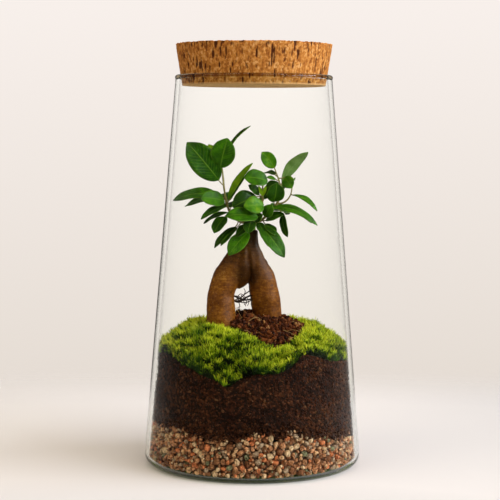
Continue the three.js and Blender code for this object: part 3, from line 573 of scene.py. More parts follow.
colour = add(
    "Mix", {0: 1.0, 6: mixed.outputs[2], 7: damp_and_shade}, data_type="RGBA", blend_type="MULTIPLY"
)
fine = add("TexNoise", {"Vector": place, "Scale": grain(1.111), "Detail": 4.0})
relief = add("Math", {0: fine, 1: cells.outputs["Distance"]}, operation="SUBTRACT")
bump = add("Bump", {"Height": relief, "Strength": 0.7, "Distance": 0.8 * MM})
feed(shader, {"Base Color": colour.outputs[2], "Normal": bump})
finish_piece("soil_body", soil_whole, [peat], "soil", "soil_layer", smooth=False)


# The coir mound: loose red-brown crumbs and hairs of coconut husk from the tree's own root ball,
# heaped on the soil round the feet of the trunk. Two longer hairs lie between them.
mound_shape = finer("coir_mound", levels=2)
roughen(mound_shape, [(3.1, 1.4), (1.3, 0.8)], sink=0.2)
mound_crumbs = crumbs_on(
    mound_shape, count=2400, seed=83, smallest=0.6, largest=2.6,
    allowed=lambda face: face.normal.z > 0.1,
)
hair_spots = spots_on(mound_shape, count=34, seed=84, allowed=lambda face: face.normal.z > 0.2)
mound_mesh = one_tone(as_mesh("mound_body", mound_shape), 0)


def made(holder):
    """The finished mesh of an object, which is then removed."""
    bpy.context.view_layer.update()
    graph = bpy.context.evaluated_depsgraph_get()
    mesh = bpy.data.meshes.new_from_object(holder.evaluated_get(graph))
    bpy.data.objects.remove(holder)
    return mesh


def rods(name, paths, sides):
    """Round rods through points (x, y, z, radius), with closed ends, as one mesh."""
    curve = bpy.data.curves.new(name, "CURVE")
    curve.dimensions = "3D"
    curve.bevel_depth = 1
    curve.bevel_resolution = max(0, sides // 2 - 2)
    curve.resolution_u = 5
    curve.use_fill_caps = True
    for path in paths:
        spline = curve.splines.new("BEZIER")
        spline.bezier_points.add(len(path) - 1)
        for knot, (x, y, z, radius) in zip(spline.bezier_points, path):
            knot.co = (x, y, z)
            knot.radius = radius
            knot.handle_left_type = knot.handle_right_type = "AUTO"
    return made(added(name, curve))


HAIR = 0.14  # its radius
LONG_HAIRS = [((5, -2, 107.6), (9, -14, 104)), ((-3, -16, 104.5), (6, -13, 105))]
hairs = []
for point, normal in hair_spots:
    reach = Vector((draw.random() - 0.5, draw.random() - 0.5, (draw.random() - 0.4) * 0.5))
    reach.normalize()
    length = 5 + 9 * draw.random()
    middle = point + reach * length * 0.5 + Vector((0, 0, 1.5 * draw.random()))
    hairs.append([(*(p + normal * 0.3), HAIR) for p in (point, middle, point + reach * length)])
for start, end in LONG_HAIRS:
    middle = (Vector(start) + Vector(end)) / 2 + Vector((1, 0, 2))
    hairs.append([(*start, 0.22), (*middle, 0.24), (*end, 0.2)])
hair_mesh = one_tone(rods("coir_hairs", hairs, sides=4), 1)
mound_whole = joined(mound_mesh, strewn("mound_crumbs", crumb_patterns, mound_crumbs), hair_mesh)

# Coir: dry red-brown crumbs, darker where moist, with straw-coloured hairs. Its fibres are too
# fine to show and are drawn as grit 1.6 mm wide.
coir, add, shader, place = new_material("loose_coir", 0.85, 0.12)
tone = add("Attribute", attribute_name="tone").outputs["Fac"]
fine = add("TexNoise", {"Vector": place, "Scale": grain(1.613), "Detail": 5.0, "Roughness": 0.7})
dark = add("ValToRGB", {0: fine}, [(0.34, "#180905"), (0.5, "#351609"), (0.66, "#653016")])
bits = add(
    "ValToRGB", {0: tone},
    [(0.02, "#210d06"), (0.4, "#46200e"), (0.75, "#6b3518"), (0.93, "#8a4c26"), (0.99, "#b98f5c")],
)
is_crumb = add("Math", {0: tone, 1: 0.01}, operation="GREATER_THAN")
colour = add("Mix", {0: is_crumb, 6: dark, 7: bits}, data_type="RGBA")
bump = add("Bump", {"Height": fine, "Strength": 0.8, "Distance": 0.8 * MM})
feed(shader, {"Base Color": colour.outputs[2], "Normal": bump})
finish_piece("mound_body", mound_whole, [coir], "coir", "coir_mound", smooth=False)


# The moss: three living cushions laid on the soil in front, on the right and at the back, each a
# dense stand of short leafy stems. MOSS_STEMS gives the number of stems of each, and its tone.
MOSS_STEMS = {"moss_front": (5900, 0.46), "moss_right": (3400, 0.42), "moss_back": (4100, 0.6)}
STEM_WIDTH, STEM_SPREAD, STEM_HEIGHT = 2.1, 2.2, 1.45  # least width, its range, height to width
# Of these tones, the second paints faces turned up lighter, as lit from above, and the third
# paints the middle of moss_front darker and deeper green, as shade.
TONE_SPREAD, TOP_LIGHT_TONE, MIDDLE_SHADE_TONE = 0.55, 0.9, 0.24
MIDDLE_SHADE_X, MIDDLE_SHADE_Z, MIDDLE_SHADE_WIDE, MIDDLE_SHADE_HIGH = -8, 87, 30, 12  # the greener middle of moss_front


def sprig(seed):
    """A moss stem's head: pointed leaflets in a star round an upright one."""
    row = np.random.default_rng(seed)
    shape = bmesh.new()
    for leaflet in range(5):
        tilt = 0 if leaflet == 4 else math.radians(26 + 36 * row.random())
        turn = 2 * math.pi * (leaflet + 0.6 * row.random()) / 4
        length = 0.7 + 0.4 * row.random()
        aim = Matrix.Rotation(turn, 4, "Z") @ Matrix.Rotation(tilt, 4, "X")
        lift = Matrix.Translation((0, 0, length / 2))
        bmesh.ops.create_cone(
            shape, segments=3, radius1=0.15, radius2=0.02, depth=length, matrix=aim @ lift
        )
    parts = parts_of(shape)
    shape.free()
    return parts


sprig_patterns = [sprig(200 + seed) for seed in range(9)]

# Moss leaflets: thin and soft and yellow-green, with painted shade at their feet and painted light
# on the faces turned up. The tone varies in patches some 12 mm wide, and some of 26 mm are a
# cooler green.
moss_leaflet, add, shader, place = new_material("living_moss", 0.7, 0.15)
tone = add("Attribute", attribute_name="tone").outputs["Fac"]
patches = add("TexNoise", {"Vector": place, "Scale": grain(11.765), "Detail": 3.0})
more = add("MapRange", {0: patches, 1: 0.32, 2: 0.68, 3: -0.17, 4: 0.17})
level = add("Math", {0: tone, 1: more}, operation="ADD")
tips = add(
    "ValToRGB", {0: level},
    [(0.05, "#0c1102"), (0.3, "#273c04"), (0.46, "#547406"), (0.66, "#99b40a"), (0.95, "#e8ea3c")],
)
spread = add("TexNoise", {"Vector": place, "Scale": grain(26.316), "Detail": 2.0})
cool = add("MapRange", {0: spread, 1: 0.55, 2: 0.7, 4: 0.4})
colour = add("Mix", {0: cool, 6: tips, 7: linear("#3d6a1c")}, data_type="RGBA")
feed(shader, {"Base Color": colour.outputs[2]})

axes = {"use_axis_" + axis: True for axis in "xyz"}
for number, (node, (stems, shade)) in enumerate(MOSS_STEMS.items()):
    cushion = finer(node, levels=2)
    for _ in range(5):
        bmesh.ops.smooth_vert(cushion, verts=cushion.verts, factor=0.5, **axes)
    cushion.normal_update()
    roughen(cushion, [(6, 1.6), (2.2, 0.6)], sink=0.9)
    cushion.normal_update()
    spots = []
    row = np.random.default_rng(300 + number)
    for point, normal in spots_on(cushion, stems, 310 + number, lambda face: face.normal.z > -0.3):
        lean = (normal * 0.9 + Vector((0, 0, 0.8))).normalized()
        turn = lean.to_track_quat("Z", "Y").to_matrix().to_4x4()
        turn @= Matrix.Rotation(row.random() * 2 * math.pi, 4, "Z")
        size = STEM_WIDTH + STEM_SPREAD * row.random()
        here = Matrix.Translation(point - lean * 0.5) @ turn
        here @= Matrix.Diagonal((size, size, STEM_HEIGHT * size, 1))
        # Faces turned up are painted lighter, as light from above; the middle of moss_front is
        # painted darker, as shade.
        tone = shade + TONE_SPREAD * (row.random() - 0.5) + TOP_LIGHT_TONE * max(0, normal.z) ** 2
        if node == "moss_front":
            aside, above = (point.x - MIDDLE_SHADE_X) / MIDDLE_SHADE_WIDE, (point.z - MIDDLE_SHADE_Z) / MIDDLE_SHADE_HIGH
            tone -= MIDDLE_SHADE_TONE * math.exp(-(aside**2) - above**2)
        spots.append((int(row.integers(len(sprig_patterns))), here, tone))
    for vert, point in zip(cushion.verts, held_in(np.array([v.co for v in cushion.verts]))):
        vert.co = point
    # The cushion under the stems takes a near-black tone, partly its old stems and partly painted
    # shade between them.
    body = one_tone(as_mesh(node + "_body", cushion), 0.1)
    # The stems' feet are painted darker, as shade.
    whole = joined(body, strewn(node + "_stems", sprig_patterns, spots, foot_shade=0.75))
    finish_piece(node + "_cushion", whole, [moss_leaflet], "moss", node, smooth=False)


# The trunk: a young fig's two swollen roots, which grew together into one neck and stand in the
# soil like legs. Thin dark rootlets cross the arch between them. Points are (x, y, z, radius).
LEFT_LEG = [
    (-22.7, -6, 84, 9), (-22.7, -6, 92, 9.6), (-22.7, -6, 100, 9.9), (-22.8, -5.5, 107.4, 10.1),
    (-23.2, -4, 116.8, 9.7), (-22.6, -3, 124, 9.2), (-19.8, -2, 132, 9.3), (-15.5, -1, 140, 8.9),
    (-10, 0, 148.4, 8.5), (-4.5, 0, 156.5, 5.7), (-1.4, 0, 163, 4.5), (-1, 0, 168, 4.3),
]
RIGHT_LEG = [
    (10.5, 3, 84, 9), (10.5, 3, 92, 9.6), (10.5, 3, 100, 9.8), (10.4, 3, 107.4, 9.9),
    (9.2, 2.5, 116.8, 10.4), (7.8, 2, 124, 10.1), (6.2, 1.5, 132, 9.7), (3, 1, 140, 8.4),
    (0, 0.5, 148.4, 7.4), (-1.5, 0, 156.5, 5.2), (-1.1, 0, 163, 4.4), (-1, 0, 168, 4.2),
]
SHOULDER = [
    (-12, 0, 127, 2.4), (-9.5, -0.3, 131.5, 5.4), (-7.5, -0.5, 137.5, 8), (-6, -0.5, 143, 9.7),
    (-4.5, 0, 150, 9), (-2, 0, 158, 5.4),
]
ROOTLETS = [
    [(-16, -3, 119, 0.7), (-10, -4, 116.5, 0.65), (-6, -2, 119, 0.65), (1, 1, 122, 0.7)],
    [(-15, -2, 121, 0.6), (-11, 0, 119.4, 0.6), (-7, 1, 117.5, 0.6), (1, 2, 118.6, 0.6)],
    [(-14, -3, 117, 0.5), (-9, -5, 118, 0.55), (-4, -4, 120.5, 0.5), (1, -1, 121, 0.5)],
    [(-12.5, -3, 121, 0.3), (-9, -4, 120, 0.35), (-6.5, -4.5, 117, 0.3), (-5, -4, 113.5, 0.2)],
    [(-10.5, -3, 117, 0.35), (-9.5, -4, 114, 0.3), (-10.2, -4, 111.5, 0.2)],
    [(-7, -3, 121, 0.35), (-5.5, -4, 124, 0.3), (-6.6, -4, 126.5, 0.2)],
    [(-4, -2, 119, 0.35), (-3, -4, 116, 0.3), (-4, -4, 113.8, 0.2)],
    [(-1.2, -2, 125, 0.4), (-5.5, -4, 122.5, 0.4), (-9, -4, 119.5, 0.4), (-14.5, -3, 117.4, 0.4)],
    [(-14.2, -3, 122, 0.35), (-10.5, -4, 118.5, 0.35), (-7.5, -4.5, 116.2, 0.35),
     (0, -2, 118, 0.4)],
    [(-8.5, -4, 121.5, 0.3), (-6, -4.5, 119, 0.35), (-4.5, -4, 116, 0.3), (-6.5, -4, 114.5, 0.2)],
    [(-11, -4, 120.5, 0.3), (-8.8, -4.5, 122.4, 0.3), (-6.4, -4, 121, 0.3), (-5, -4, 118.6, 0.3)],
]
CREASE_BOTTOM, CREASE_TOP, CREASE_BACK = 128, 158, 2
CREASE_X, CREASE_LEAN, CREASE_HALF, CREASE_DEPTH = -1.6, -0.11, 1.5, 2.2
ARCH_TOP = 134
SKIN = 0.7  # size of the cells of the smooth skin over the three limbs
limbs = added("limbs", rods("limbs", [LEFT_LEG, RIGHT_LEG, SHOULDER], sides=24))
skin = limbs.modifiers.new("skin", "REMESH")
skin.mode = "VOXEL"
skin.voxel_size = SKIN
blend = limbs.modifiers.new("blend", "SMOOTH")
blend.factor = 0.5
blend.iterations = 9
wood_mesh = made(limbs)
wood = bmesh.new()
wood.from_mesh(wood_mesh)
wood.normal_update()
for vert in wood.verts:
    # Lumps of 9 and 3.4 mm, and faint rings across the grain.
    x, y, z = vert.co
    lump = 0.35 + 0.7 * noise.noise(vert.co / 9) + 0.22 * noise.noise(vert.co / 3.4)
    ring = 0.1 * noise.noise(Vector((x * 0.2, y * 0.2, z * 1.3)))
    vert.co += vert.normal * (lump + ring)
    # A crease runs down from the neck to the arch, where the two roots grew together.
    if y < CREASE_BACK and CREASE_BOTTOM < z < CREASE_TOP:
        off = (x - CREASE_X - (z - ARCH_TOP) * CREASE_LEAN) / CREASE_HALF
        ends = min(1, (CREASE_TOP - z) / 10, (z - CREASE_BOTTOM) / 4)
        vert.co.y += CREASE_DEPTH * math.exp(-off * off) * ends
wood.to_mesh(wood_mesh)
wood.free()
rootlets = rods("rootlets", ROOTLETS, sides=6)
rootlets.polygons.foreach_set("material_index", np.ones(len(rootlets.polygons), int))
trunk_whole = joined(wood_mesh, rootlets)

# Fig bark: thin, tight and slightly glossy, red-brown with fine rings, with painted shade in the
# hollow over the arch and at the neck under the leaves. The rings are 1.3 mm apart; the grain
# between them is too fine to show and is drawn as wide.
bark, add, shader, place = new_material("smooth_fig_bark", 0.44, 0.13)
flat = add("Mapping", {"Vector": place, "Scale": (0.45, 0.45, 1.5)})
rings = add("TexNoise", {"Vector": flat, "Scale": grain(1.923), "Detail": 5.0})
broad = add("TexNoise", {"Vector": place, "Scale": grain(14.286), "Detail": 3.0})
fine = add("TexNoise", {"Vector": place, "Scale": grain(1.316), "Detail": 3.0})
ringed = add("Mix", {0: 0.4, 2: broad, 3: rings})
mottle = add("Mix", {0: 0.28, 2: ringed, 3: fine})
wood_tint = add(
    "ValToRGB", {0: mottle},
    [(0.35, "#42220a"), (0.455, "#6e3c10"), (0.54, "#8f5518"), (0.66, "#bb7e30")],
)
# Towards the neck the bark is younger and olive, and it is painted darker there as well, as the
# shade of the leaves above it.
up = add("SeparateXYZ", {0: place})
young_and_leaf_shade = add("MapRange", {0: up.outputs[2], 1: 128 * MM, 2: 166 * MM, 4: 0.92})
neck_shaded_bark = add("Mix", {0: young_and_leaf_shade, 6: wood_tint, 7: linear("#32230b")}, data_type="RGBA")
# Where the roots meet above the arch, the hollow between them is painted dark, as shade.
HOLLOW_X, HOLLOW_Z, HOLLOW_START, HOLLOW_END = -4.5 * MM, 136 * MM, 4.5 * MM, 13.5 * MM
fork = add("Mapping", {"Vector": place, "Location": (-HOLLOW_X, 0, -HOLLOW_Z), "Scale": (1, 0, 1)})
off = add("VectorMath", {0: fork}, operation="LENGTH").outputs["Value"]
damp_and_shade = add(
    "MapRange", {0: off, 1: HOLLOW_START, 2: HOLLOW_END, 3: 0.72, 4: 0.0},
    interpolation_type="SMOOTHSTEP",
)
colour = add("Mix", {0: damp_and_shade, 6: neck_shaded_bark.outputs[2], 7: linear("#2a1606")}, data_type="RGBA")
bump = add("Bump", {"Height": rings, "Strength": 0.3, "Distance": 0.4 * MM})
feed(shader, {"Base Color": colour.outputs[2], "Normal": bump})

# Rootlets: dry, thin and almost black, in patches 2.5 mm long.
dry_root = mottled("dry_rootlet", 0.8, 2.5, [(0.35, "#1a0f07"), (0.7, "#3d2716")])
finish_piece("fig_trunk", trunk_whole, [bark, dry_root], "bark", "ficus_trunk")


# The shoots: three green-brown stems that grew from the top of the neck, with leathery leaves on
# short stalks. The right one forks. Points of stems are (x, y, z, radius).
TRUNK_TOP = 168
STEM_FEET = [(-3.2, 0.3), (-0.6, -2.2), (0.6, 1)]


def stem_foot(number):
    """The points with which a stem starts in the neck."""
    x, y = STEM_FEET[number]
    return [(x, y, z, 1.1) for z in (TRUNK_TOP - 2, TRUNK_TOP + 0.5, TRUNK_TOP + 3)]


LEFT_STEMS = [
    [*stem_foot(0), (-10.5, -1, 174.5, 1), (-15.8, -2, 179.5, 1), (-18.2, -2, 184.4, 0.9),
     (-19.8, -2, 191, 0.8), (-21, -1, 198, 0.7), (-21.7, 0, 205, 0.65), (-22.5, 1, 213, 0.5)],
]
CENTRE_STEMS = [
    [*stem_foot(1), (-0.7, -3.4, 174, 1), (2.4, -4, 179, 0.9), (5.6, -4, 184, 0.9),
     (6.4, -4.5, 190, 0.8), (6.4, -5, 195.4, 0.8), (6.6, -5, 200, 0.6)],
]
RIGHT_STEMS = [
    [*stem_foot(2), (6.5, 0.8, 175.5, 1), (12, 1, 181, 1), (17, 1, 187.3, 0.9),
     (19.8, 2, 195.2, 0.7), (18.5, 2, 202.3, 0.6), (16.8, 2, 207.5, 0.5)],
    [(16.6, 1, 186.6, 0.7), (22, 1, 187.9, 0.6), (26.2, 2, 192.3, 0.5), (27.7, 3, 198.5, 0.45)],
]
# Each leaf: base, tip, width, turn in degrees, tone from dark (0) to yellow-green (1), and its
# arch where it isn't ARCH. The tone is partly the leaf's own colour and partly painted light and
# shade, for how the leaf lies in the light.
LEFT_LEAVES = [
    ((-24.6, -3, 203.4), (-46.8, -9, 230.4), 20, 8, 0.3),
    ((-23.6, -7, 212.6), (-18.4, -11, 233.4), 17.5, -8, 0.42),
    ((-20.4, 4, 219), (-2.2, 6, 242.3), 3.6, -55, 0.3, 0.13),
    ((-24.7, 5, 211), (-32.8, 12, 228.7), 11, 20, 0.9),
    ((-21.7, 1, 191.6), (-57.6, -3, 189), 11.5, 52, 0.3, 0.13),
    ((-20.5, -5, 188.8), (-37.2, -16, 191.5), 12, 30, 0.45),
    ((-21, 5, 189.9), (-50.4, 15, 184), 9, 62, 0.2),
    ((-18.4, -4, 189), (-0.6, -6, 216), 6, -45, 0.8),
    ((-16.8, 0, 190.2), (-6, 1.5, 206.6), 5, -40, 0.12),
    ((-19, -4, 185.2), (-37, -11, 176.2), 8.5, 60, 0.25),
    ((-18, 2, 180.5), (-35.8, 3, 172.2), 7, 68, 0.2),
    ((-19.6, -6, 178), (-27.6, -15, 166.6), 10, 35, 0.25),
    ((-12.5, -4, 170.5), (-27.7, -9, 155.6), 6.5, 52, 0.15),
    ((-11.5, -5, 170.3), (-23, -12, 157.5), 7, 48, 0.1),
    ((-17, 8, 189), (-30, 29, 190.5), 15, 80, 0.3),
    ((-16, 6, 184), (-22, 31, 184), 14, 85, 0.3),
]
CENTRE_LEAVES = [
    ((10.2, -6.5, 203.2), (-6.9, -12, 206), 13.5, 36, 0.38),
    ((3.4, -12, 177.8), (-19.8, -21, 179.1), 12, 40, 0.4),
    ((7.4, -11, 186.2), (-6.8, -19, 185.6), 13, 25, 0.66),
    ((1.9, -5.4, 192.4), (-14.6, -10.4, 184.8), 15.5, 10, 0.05),
    ((4.2, -3.4, 193.5), (-3.6, -8, 200.2), 6.5, 40, 0.35),
    ((7.4, -1, 190), (12, 4, 198.4), 6.5, -10, 0.1),
    ((6.2, -7, 192.5), (3.6, -9, 200), 2.4, 10, 1),
    ((6.6, -6.6, 192.5), (8.8, -7.6, 199.7), 2.4, 10, 1),
    ((-3.2, -8.5, 167), (-17.3, -17, 151), 12.5, 28, 0.5),
    ((-2, -5.5, 172.5), (-12, -14, 164), 7.5, 40, 0.1),
    ((-1.5, -8, 175), (-4, -20, 167), 9, 10, 0.15),
    ((0.4, -5.8, 174.8), (6.6, -11.6, 179.8), 7, -30, 0.25),
    ((4, 6, 190), (9, 30, 198), 15, 82, 0.3),
    ((2, 6, 181), (-5, 29, 176), 14, 88, 0.3),
]
RIGHT_LEAVES = [
    ((15.2, 2, 212.3), (6, 0, 223.7), 10, 10, 0.65),
    ((15.6, 4, 207.6), (7.6, 11, 208.8), 7, 70, 0.2),
    ((16, 1, 204.2), (9.4, -2, 205.8), 3.6, 50, 0.45),
    ((20.2, 3, 202), (39.2, 4, 223.6), 10.4, -142, 0.8),
    ((22.4, 0, 206), (27.4, -7, 198.4), 9, 5, 0.5),
    ((14.5, -1, 188), (16.5, -9, 202), 13, 12, 0.24),
    ((28.2, 2, 193.3), (45.3, -6, 182.1), 5.4, -52, 0.5, 0.15),
    ((11.2, -6, 184.4), (45, -14, 172.4), 7.8, -50, 0.42, 0.17),
    ((14, 3, 184.4), (42, 5, 172.8), 5, -55, 0.3, 0.15),
    ((18, 1, 202), (8.6, -1, 197.2), 7.5, 35, 0.1),
    ((8.4, -5.2, 177.5), (12.8, -10, 186.8), 8.5, -15, 0.45),
    ((20.8, -3, 180.6), (24.3, -8, 163.4), 6.4, 40, 0.2),
    ((8.6, -4.6, 175), (21.8, -9, 180), 8, -54, 0.3),
    ((3.8, -7, 172), (21.9, -15, 149.6), 12.5, -30, 0.3),
    ((6.5, -3, 170), (12.4, -7, 160.2), 8, -35, 0.1),
    ((3.4, -5, 173.6), (7.4, -11, 166.4), 6.5, -20, 0.1),
    ((6.5, 2, 166), (14, 8, 155.5), 8, -30, 0.1),
    ((8.5, -3, 172.6), (15.4, -12, 165), 8, -45, 0.2),
    ((18, 8, 193), (30, 28, 203), 15, -75, 0.3),
    ((13, 7, 182), (24, 30, 178), 14, -82, 0.3),
]
FOLD, BLADE, ARCH = 0.16, 0.45, 0.09
BLADE_ROWS, BLADE_COLUMNS = 18, 8


def blade(seed, base, tip, width, turn, tone, arch=ARCH):
    """A leaf blade: a grid folded along its midrib, bent along its length and thickened."""
    start, along = Vector(base), Vector(tip) - Vector(base)
    length = along.length
    along.normalize()
    face = Vector((0, -1, 0))
    face = (face - along * face.dot(along)).normalized()
    face.rotate(Matrix.Rotation(math.radians(turn), 3, along))
    side = along.cross(face)
    shape = bmesh.new()
    uv = shape.loops.layers.uv.new("blade")
    bmesh.ops.create_grid(shape, x_segments=BLADE_COLUMNS, y_segments=BLADE_ROWS, size=1)
    places = {v.index: (v.co.x, (v.co.y + 1) / 2) for v in shape.verts}
    for vert in shape.verts:
        # Widest in the middle, with a drawn-out point, its margin waved and its midrib sunk.
        across, station = places[vert.index]
        share = max(0.03, (4 * station * (1 - station)) ** 0.66)
        if station > 0.85:
            share *= 1 - 0.35 * (station - 0.85) / 0.15
        out = abs(across) * share * width / 2
        wave = 0.035 * width * math.sin(11 * station + seed) * across * abs(across)
        valley = math.sqrt(out * out + 0.3) - 0.55
        vert.co = (
            start
            + along * station * length
            + face * (arch * length * 4 * station * (1 - station) + valley * FOLD + wave)
            + side * across * share * width / 2
        )
    for loop_face in shape.faces:
        for loop in loop_face.loops:
            across, station = places[loop.vert.index]
            loop[uv].uv = (across / 2 + 0.5, station)
    shape.normal_update()
    if sum(f.normal.dot(face) for f in shape.faces) < 0:
        bmesh.ops.reverse_faces(shape, faces=shape.faces)
    upper = list(shape.faces)
    bmesh.ops.solidify(shape, geom=upper, thickness=BLADE)
    for part in shape.faces:
        part.material_index = 0 if part.normal.dot(face) > 0.05 else 1
        part.smooth = True
    return one_tone(as_mesh("blade", shape), tone)


# Fig leaves: a waxed glossy upper face and a dull paler back, with a pale midrib and margin. Their
# side veins are too fine to show and are drawn twelve to a leaf, some 3 mm apart.
VEINS = 75  # 2 pi times the veins along a leaf


def leaf_material(name, roughness, stops, rib):
    """A leaf's upper face or its back: four tones and the colour of its ribs."""
    material, add, shader, place = new_material(name, roughness, 0.11)
    spread = add("UVMap", uv_map="blade")
    parts = add("SeparateXYZ", {0: spread})
    across = add("Math", {0: parts, 1: 0.5}, operation="SUBTRACT")
    off = add("Math", {0: across}, operation="ABSOLUTE")
    tone = add("Attribute", attribute_name="tone").outputs["Fac"]
    cloud = add(
        "TexNoise", {"Vector": place, "Scale": grain(5.882), "Detail": 4.0, "Roughness": 0.65}
    )
    drift = add("MapRange", {0: cloud, 1: 0.32, 2: 0.68, 3: -0.24, 4: 0.24})
    level = add("Math", {0: tone, 1: drift}, operation="ADD")
    base = add("ValToRGB", {0: level}, stops)
    midrib = add("MapRange", {0: off, 1: 0.01, 2: 0.034, 3: 0.7, 4: 0.0})
    slant = add("Math", {0: off, 1: -0.55, 2: parts.outputs[1]}, operation="MULTIPLY_ADD")
    steps = add("Math", {0: slant, 1: float(VEINS)}, operation="MULTIPLY")
    comb = add("Math", {0: steps}, operation="SINE")
    veins = add("MapRange", {0: comb, 1: 0.6, 2: 1.0, 4: 0.3})
    ribs = add("Math", {0: midrib, 1: veins}, operation="MAXIMUM")
    margin = add("MapRange", {0: off, 1: 0.44, 2: 0.49, 4: 0.6})
    lines = add("Math", {0: ribs, 1: margin}, operation="MAXIMUM")
    colour = add("Mix", {0: lines, 6: base, 7: linear(rib)}, data_type="RGBA")
    bump = add("Bump", {"Height": lines, "Strength": 0.4, "Distance": 0.3 * MM})
    feed(shader, {"Base Color": colour.outputs[2], "Normal": bump})
    return material


leaf_top = leaf_material(
    "waxed_leaf_upper", 0.4,
    [(0, "#163606"), (0.3, "#275406"), (0.6, "#427c06"), (1, "#88ac10")], "#6c9424",
)
leaf_back = leaf_material(
    "leaf_underside", 0.6,
    [(0, "#2d4718"), (0.3, "#3d5a1e"), (0.6, "#51712b"), (1, "#74914a")], "#7c9656",
)
# Young stems: green and smooth with a brown tinge, in clouds some 6 mm long.
green_stem = mottled("young_green_stem", 0.5, 6.25, [(0.35, "#7d7034"), (0.65, "#a1954e")])


def shoot(name, stems, leaves):
    """A shoot: its stems, and each leaf with a stalk from the nearest point of a stem."""
    spots = [
        a.lerp(b, step / 4)
        for path in stems
        for a, b in zip([Vector(k[:3]) for k in path[2:]], [Vector(k[:3]) for k in path[3:]])
        for step in range(5)
    ]
    stalks, blades = [], []
    for number, leaf in enumerate(leaves):
        base, tip = Vector(leaf[0]), Vector(leaf[1])
        along = tip - base
        below = base - along * 0.1 - Vector((0, 0, 1))
        spot = min(spots, key=lambda point: (point - below).length)
        middle = (spot + base) / 2 + Vector((0, 0, -0.4))
        into = base + along * 0.04
        stalks.append([(*spot, 0.5), (*middle, 0.42), (*into, 0.36)])
        blades.append(blade(number, *leaf))
    wood = rods(name + "_wood", [*stems, *stalks], sides=8)
    wood.shade_smooth()
    whole = joined(*blades)
    count = len(whole.faces)
    whole.from_mesh(wood)
    whole.faces.ensure_lookup_table()
    for face in whole.faces[count:]:
        face.material_index = 2
    node = name.replace("fig_", "")
    finish_piece(name, whole, [leaf_top, leaf_back, green_stem], "leaf", node, smooth=False)


shoot("fig_shoot_left", LEFT_STEMS, LEFT_LEAVES)
shoot("fig_shoot_centre", CENTRE_STEMS, CENTRE_LEAVES)
shoot("fig_shoot_right", RIGHT_STEMS, RIGHT_LEAVES)


# The cork: one disc cut from cork bark and tapered, so that it sits in the mouth of the jar by its
# own weight. Its pores stand upright in the side, and its top edge crumbles.
CORK_BOTTOM, CORK_TOP, CORK_BOTTOM_RADIUS, CORK_TOP_RADIUS = 270.4, 300, 51, 55.8
CORK_ROWS, CORK_STEPS = 40, 420
UNDER_RINGS = (0.2, 0.4, 0.6, 0.75, 0.87, 0.95)
TOP_RINGS = (0.98, 0.95, 0.91, 0.86, 0.8, 0.7, 0.58, 0.45, 0.3, 0.15)
PORE_RADIUS = 54  # at which the pores are laid out round the side
CRUMBLE = 0.84  # share of the height where the edge starts to crumble
cork_profile = [(0, CORK_BOTTOM)]
cork_profile += [(CORK_BOTTOM_RADIUS * ring, CORK_BOTTOM) for ring in UNDER_RINGS]
for row in range(CORK_ROWS + 1):
    share = row / CORK_ROWS
    radius = CORK_BOTTOM_RADIUS + (CORK_TOP_RADIUS - CORK_BOTTOM_RADIUS) * share
    cork_profile.append((radius, CORK_BOTTOM + (CORK_TOP - CORK_BOTTOM) * share))
cork_profile += [(CORK_TOP_RADIUS * ring, CORK_TOP) for ring in TOP_RINGS]
cork_profile.append((0, CORK_TOP))
cork = turned(cork_profile, CORK_STEPS)
pit_layer = cork.verts.layers.float.new("pit")
for vert in cork.verts:
    x, y, z = vert.co
    far = math.hypot(x, y)
    share = (z - CORK_BOTTOM) / (CORK_TOP - CORK_BOTTOM)
    angle = math.atan2(y, x)
    round_way = Vector((math.cos(angle) * PORE_RADIUS, math.sin(angle) * PORE_RADIUS, 0))
    # Pores 1 mm wide and 7 mm tall, in crowds some 9 mm wide.
    pores = noise.noise(round_way / 1.15 + Vector((0, 0, z / 7)))
    crowd = noise.noise(round_way / 9 + Vector((7, 0, z / 12)))
    pit = max(0, pores - 0.27 + 0.28 * crowd) * 3
    fine = noise.noise(vert.co / 1.4)
    if share > 0.999 and far < CORK_TOP_RADIUS * 0.995:
        pit = 0
        vert.co.z -= 0.4 + 0.25 * noise.noise(vert.co / 14)
    elif share > 0.001:
        crumble = max(0, share - CRUMBLE) / (1 - CRUMBLE)
        broken = max(0, noise.noise(vert.co / 2.8) + 0.08 + 0.7 * noise.noise(vert.co / 1.3))
        depth = 0.2 + 0.8 * pit + 0.25 * fine + crumble**2 * (0.2 + 2.6 * broken)
        vert.co.x -= math.cos(angle) * depth
        vert.co.y -= math.sin(angle) * depth
        if share > 0.999:
            vert.co.z -= 0.2 + 1.9 * broken
        # Crumbled places are painted dark like the pores, as shade in the notches.
        pit = max(pit, 0.7 * crumble * broken)
    vert[pit_layer] = pit

# Natural cork: warm brown and dull, with dark upright pores, a fine grain, painted shade in the
# crumbled notches of its top edge and a pale painted highlight along its lower edge. The grain is
# too fine to show and is drawn 2 mm wide, the flecks 4 mm.
LOWER_LIGHT_START, LOWER_LIGHT_FULL = (CORK_BOTTOM + 1.6) * MM, (CORK_BOTTOM + 0.2) * MM
cork_bark, add, shader, place = new_material("natural_cork", 0.8, 0.15)
pit = add("Attribute", attribute_name="pit").outputs["Fac"]
upright = add("Mapping", {"Vector": place, "Scale": (1, 1, 0.4)})
streaks = add(
    "TexNoise", {"Vector": upright, "Scale": grain(2.083), "Detail": 6.0, "Roughness": 0.7}
)
cells = add("TexVoronoi", {"Vector": place, "Scale": grain(1.613)})
pick = add("SeparateColor", {0: cells.outputs["Color"]})
mixed = add("Mix", {0: 0.22, 2: streaks, 3: pick})
base = add(
    "ValToRGB", {0: mixed},
    [(0.28, "#7d4417"), (0.42, "#b06b2a"), (0.55, "#cf893c"), (0.74, "#f2ba76")],
)
flecks = add("TexVoronoi", {"Vector": upright, "Scale": grain(3.846)})
spot = add("MapRange", {0: flecks.outputs["Distance"], 1: 0.2, 2: 0.08, 4: 0.75})
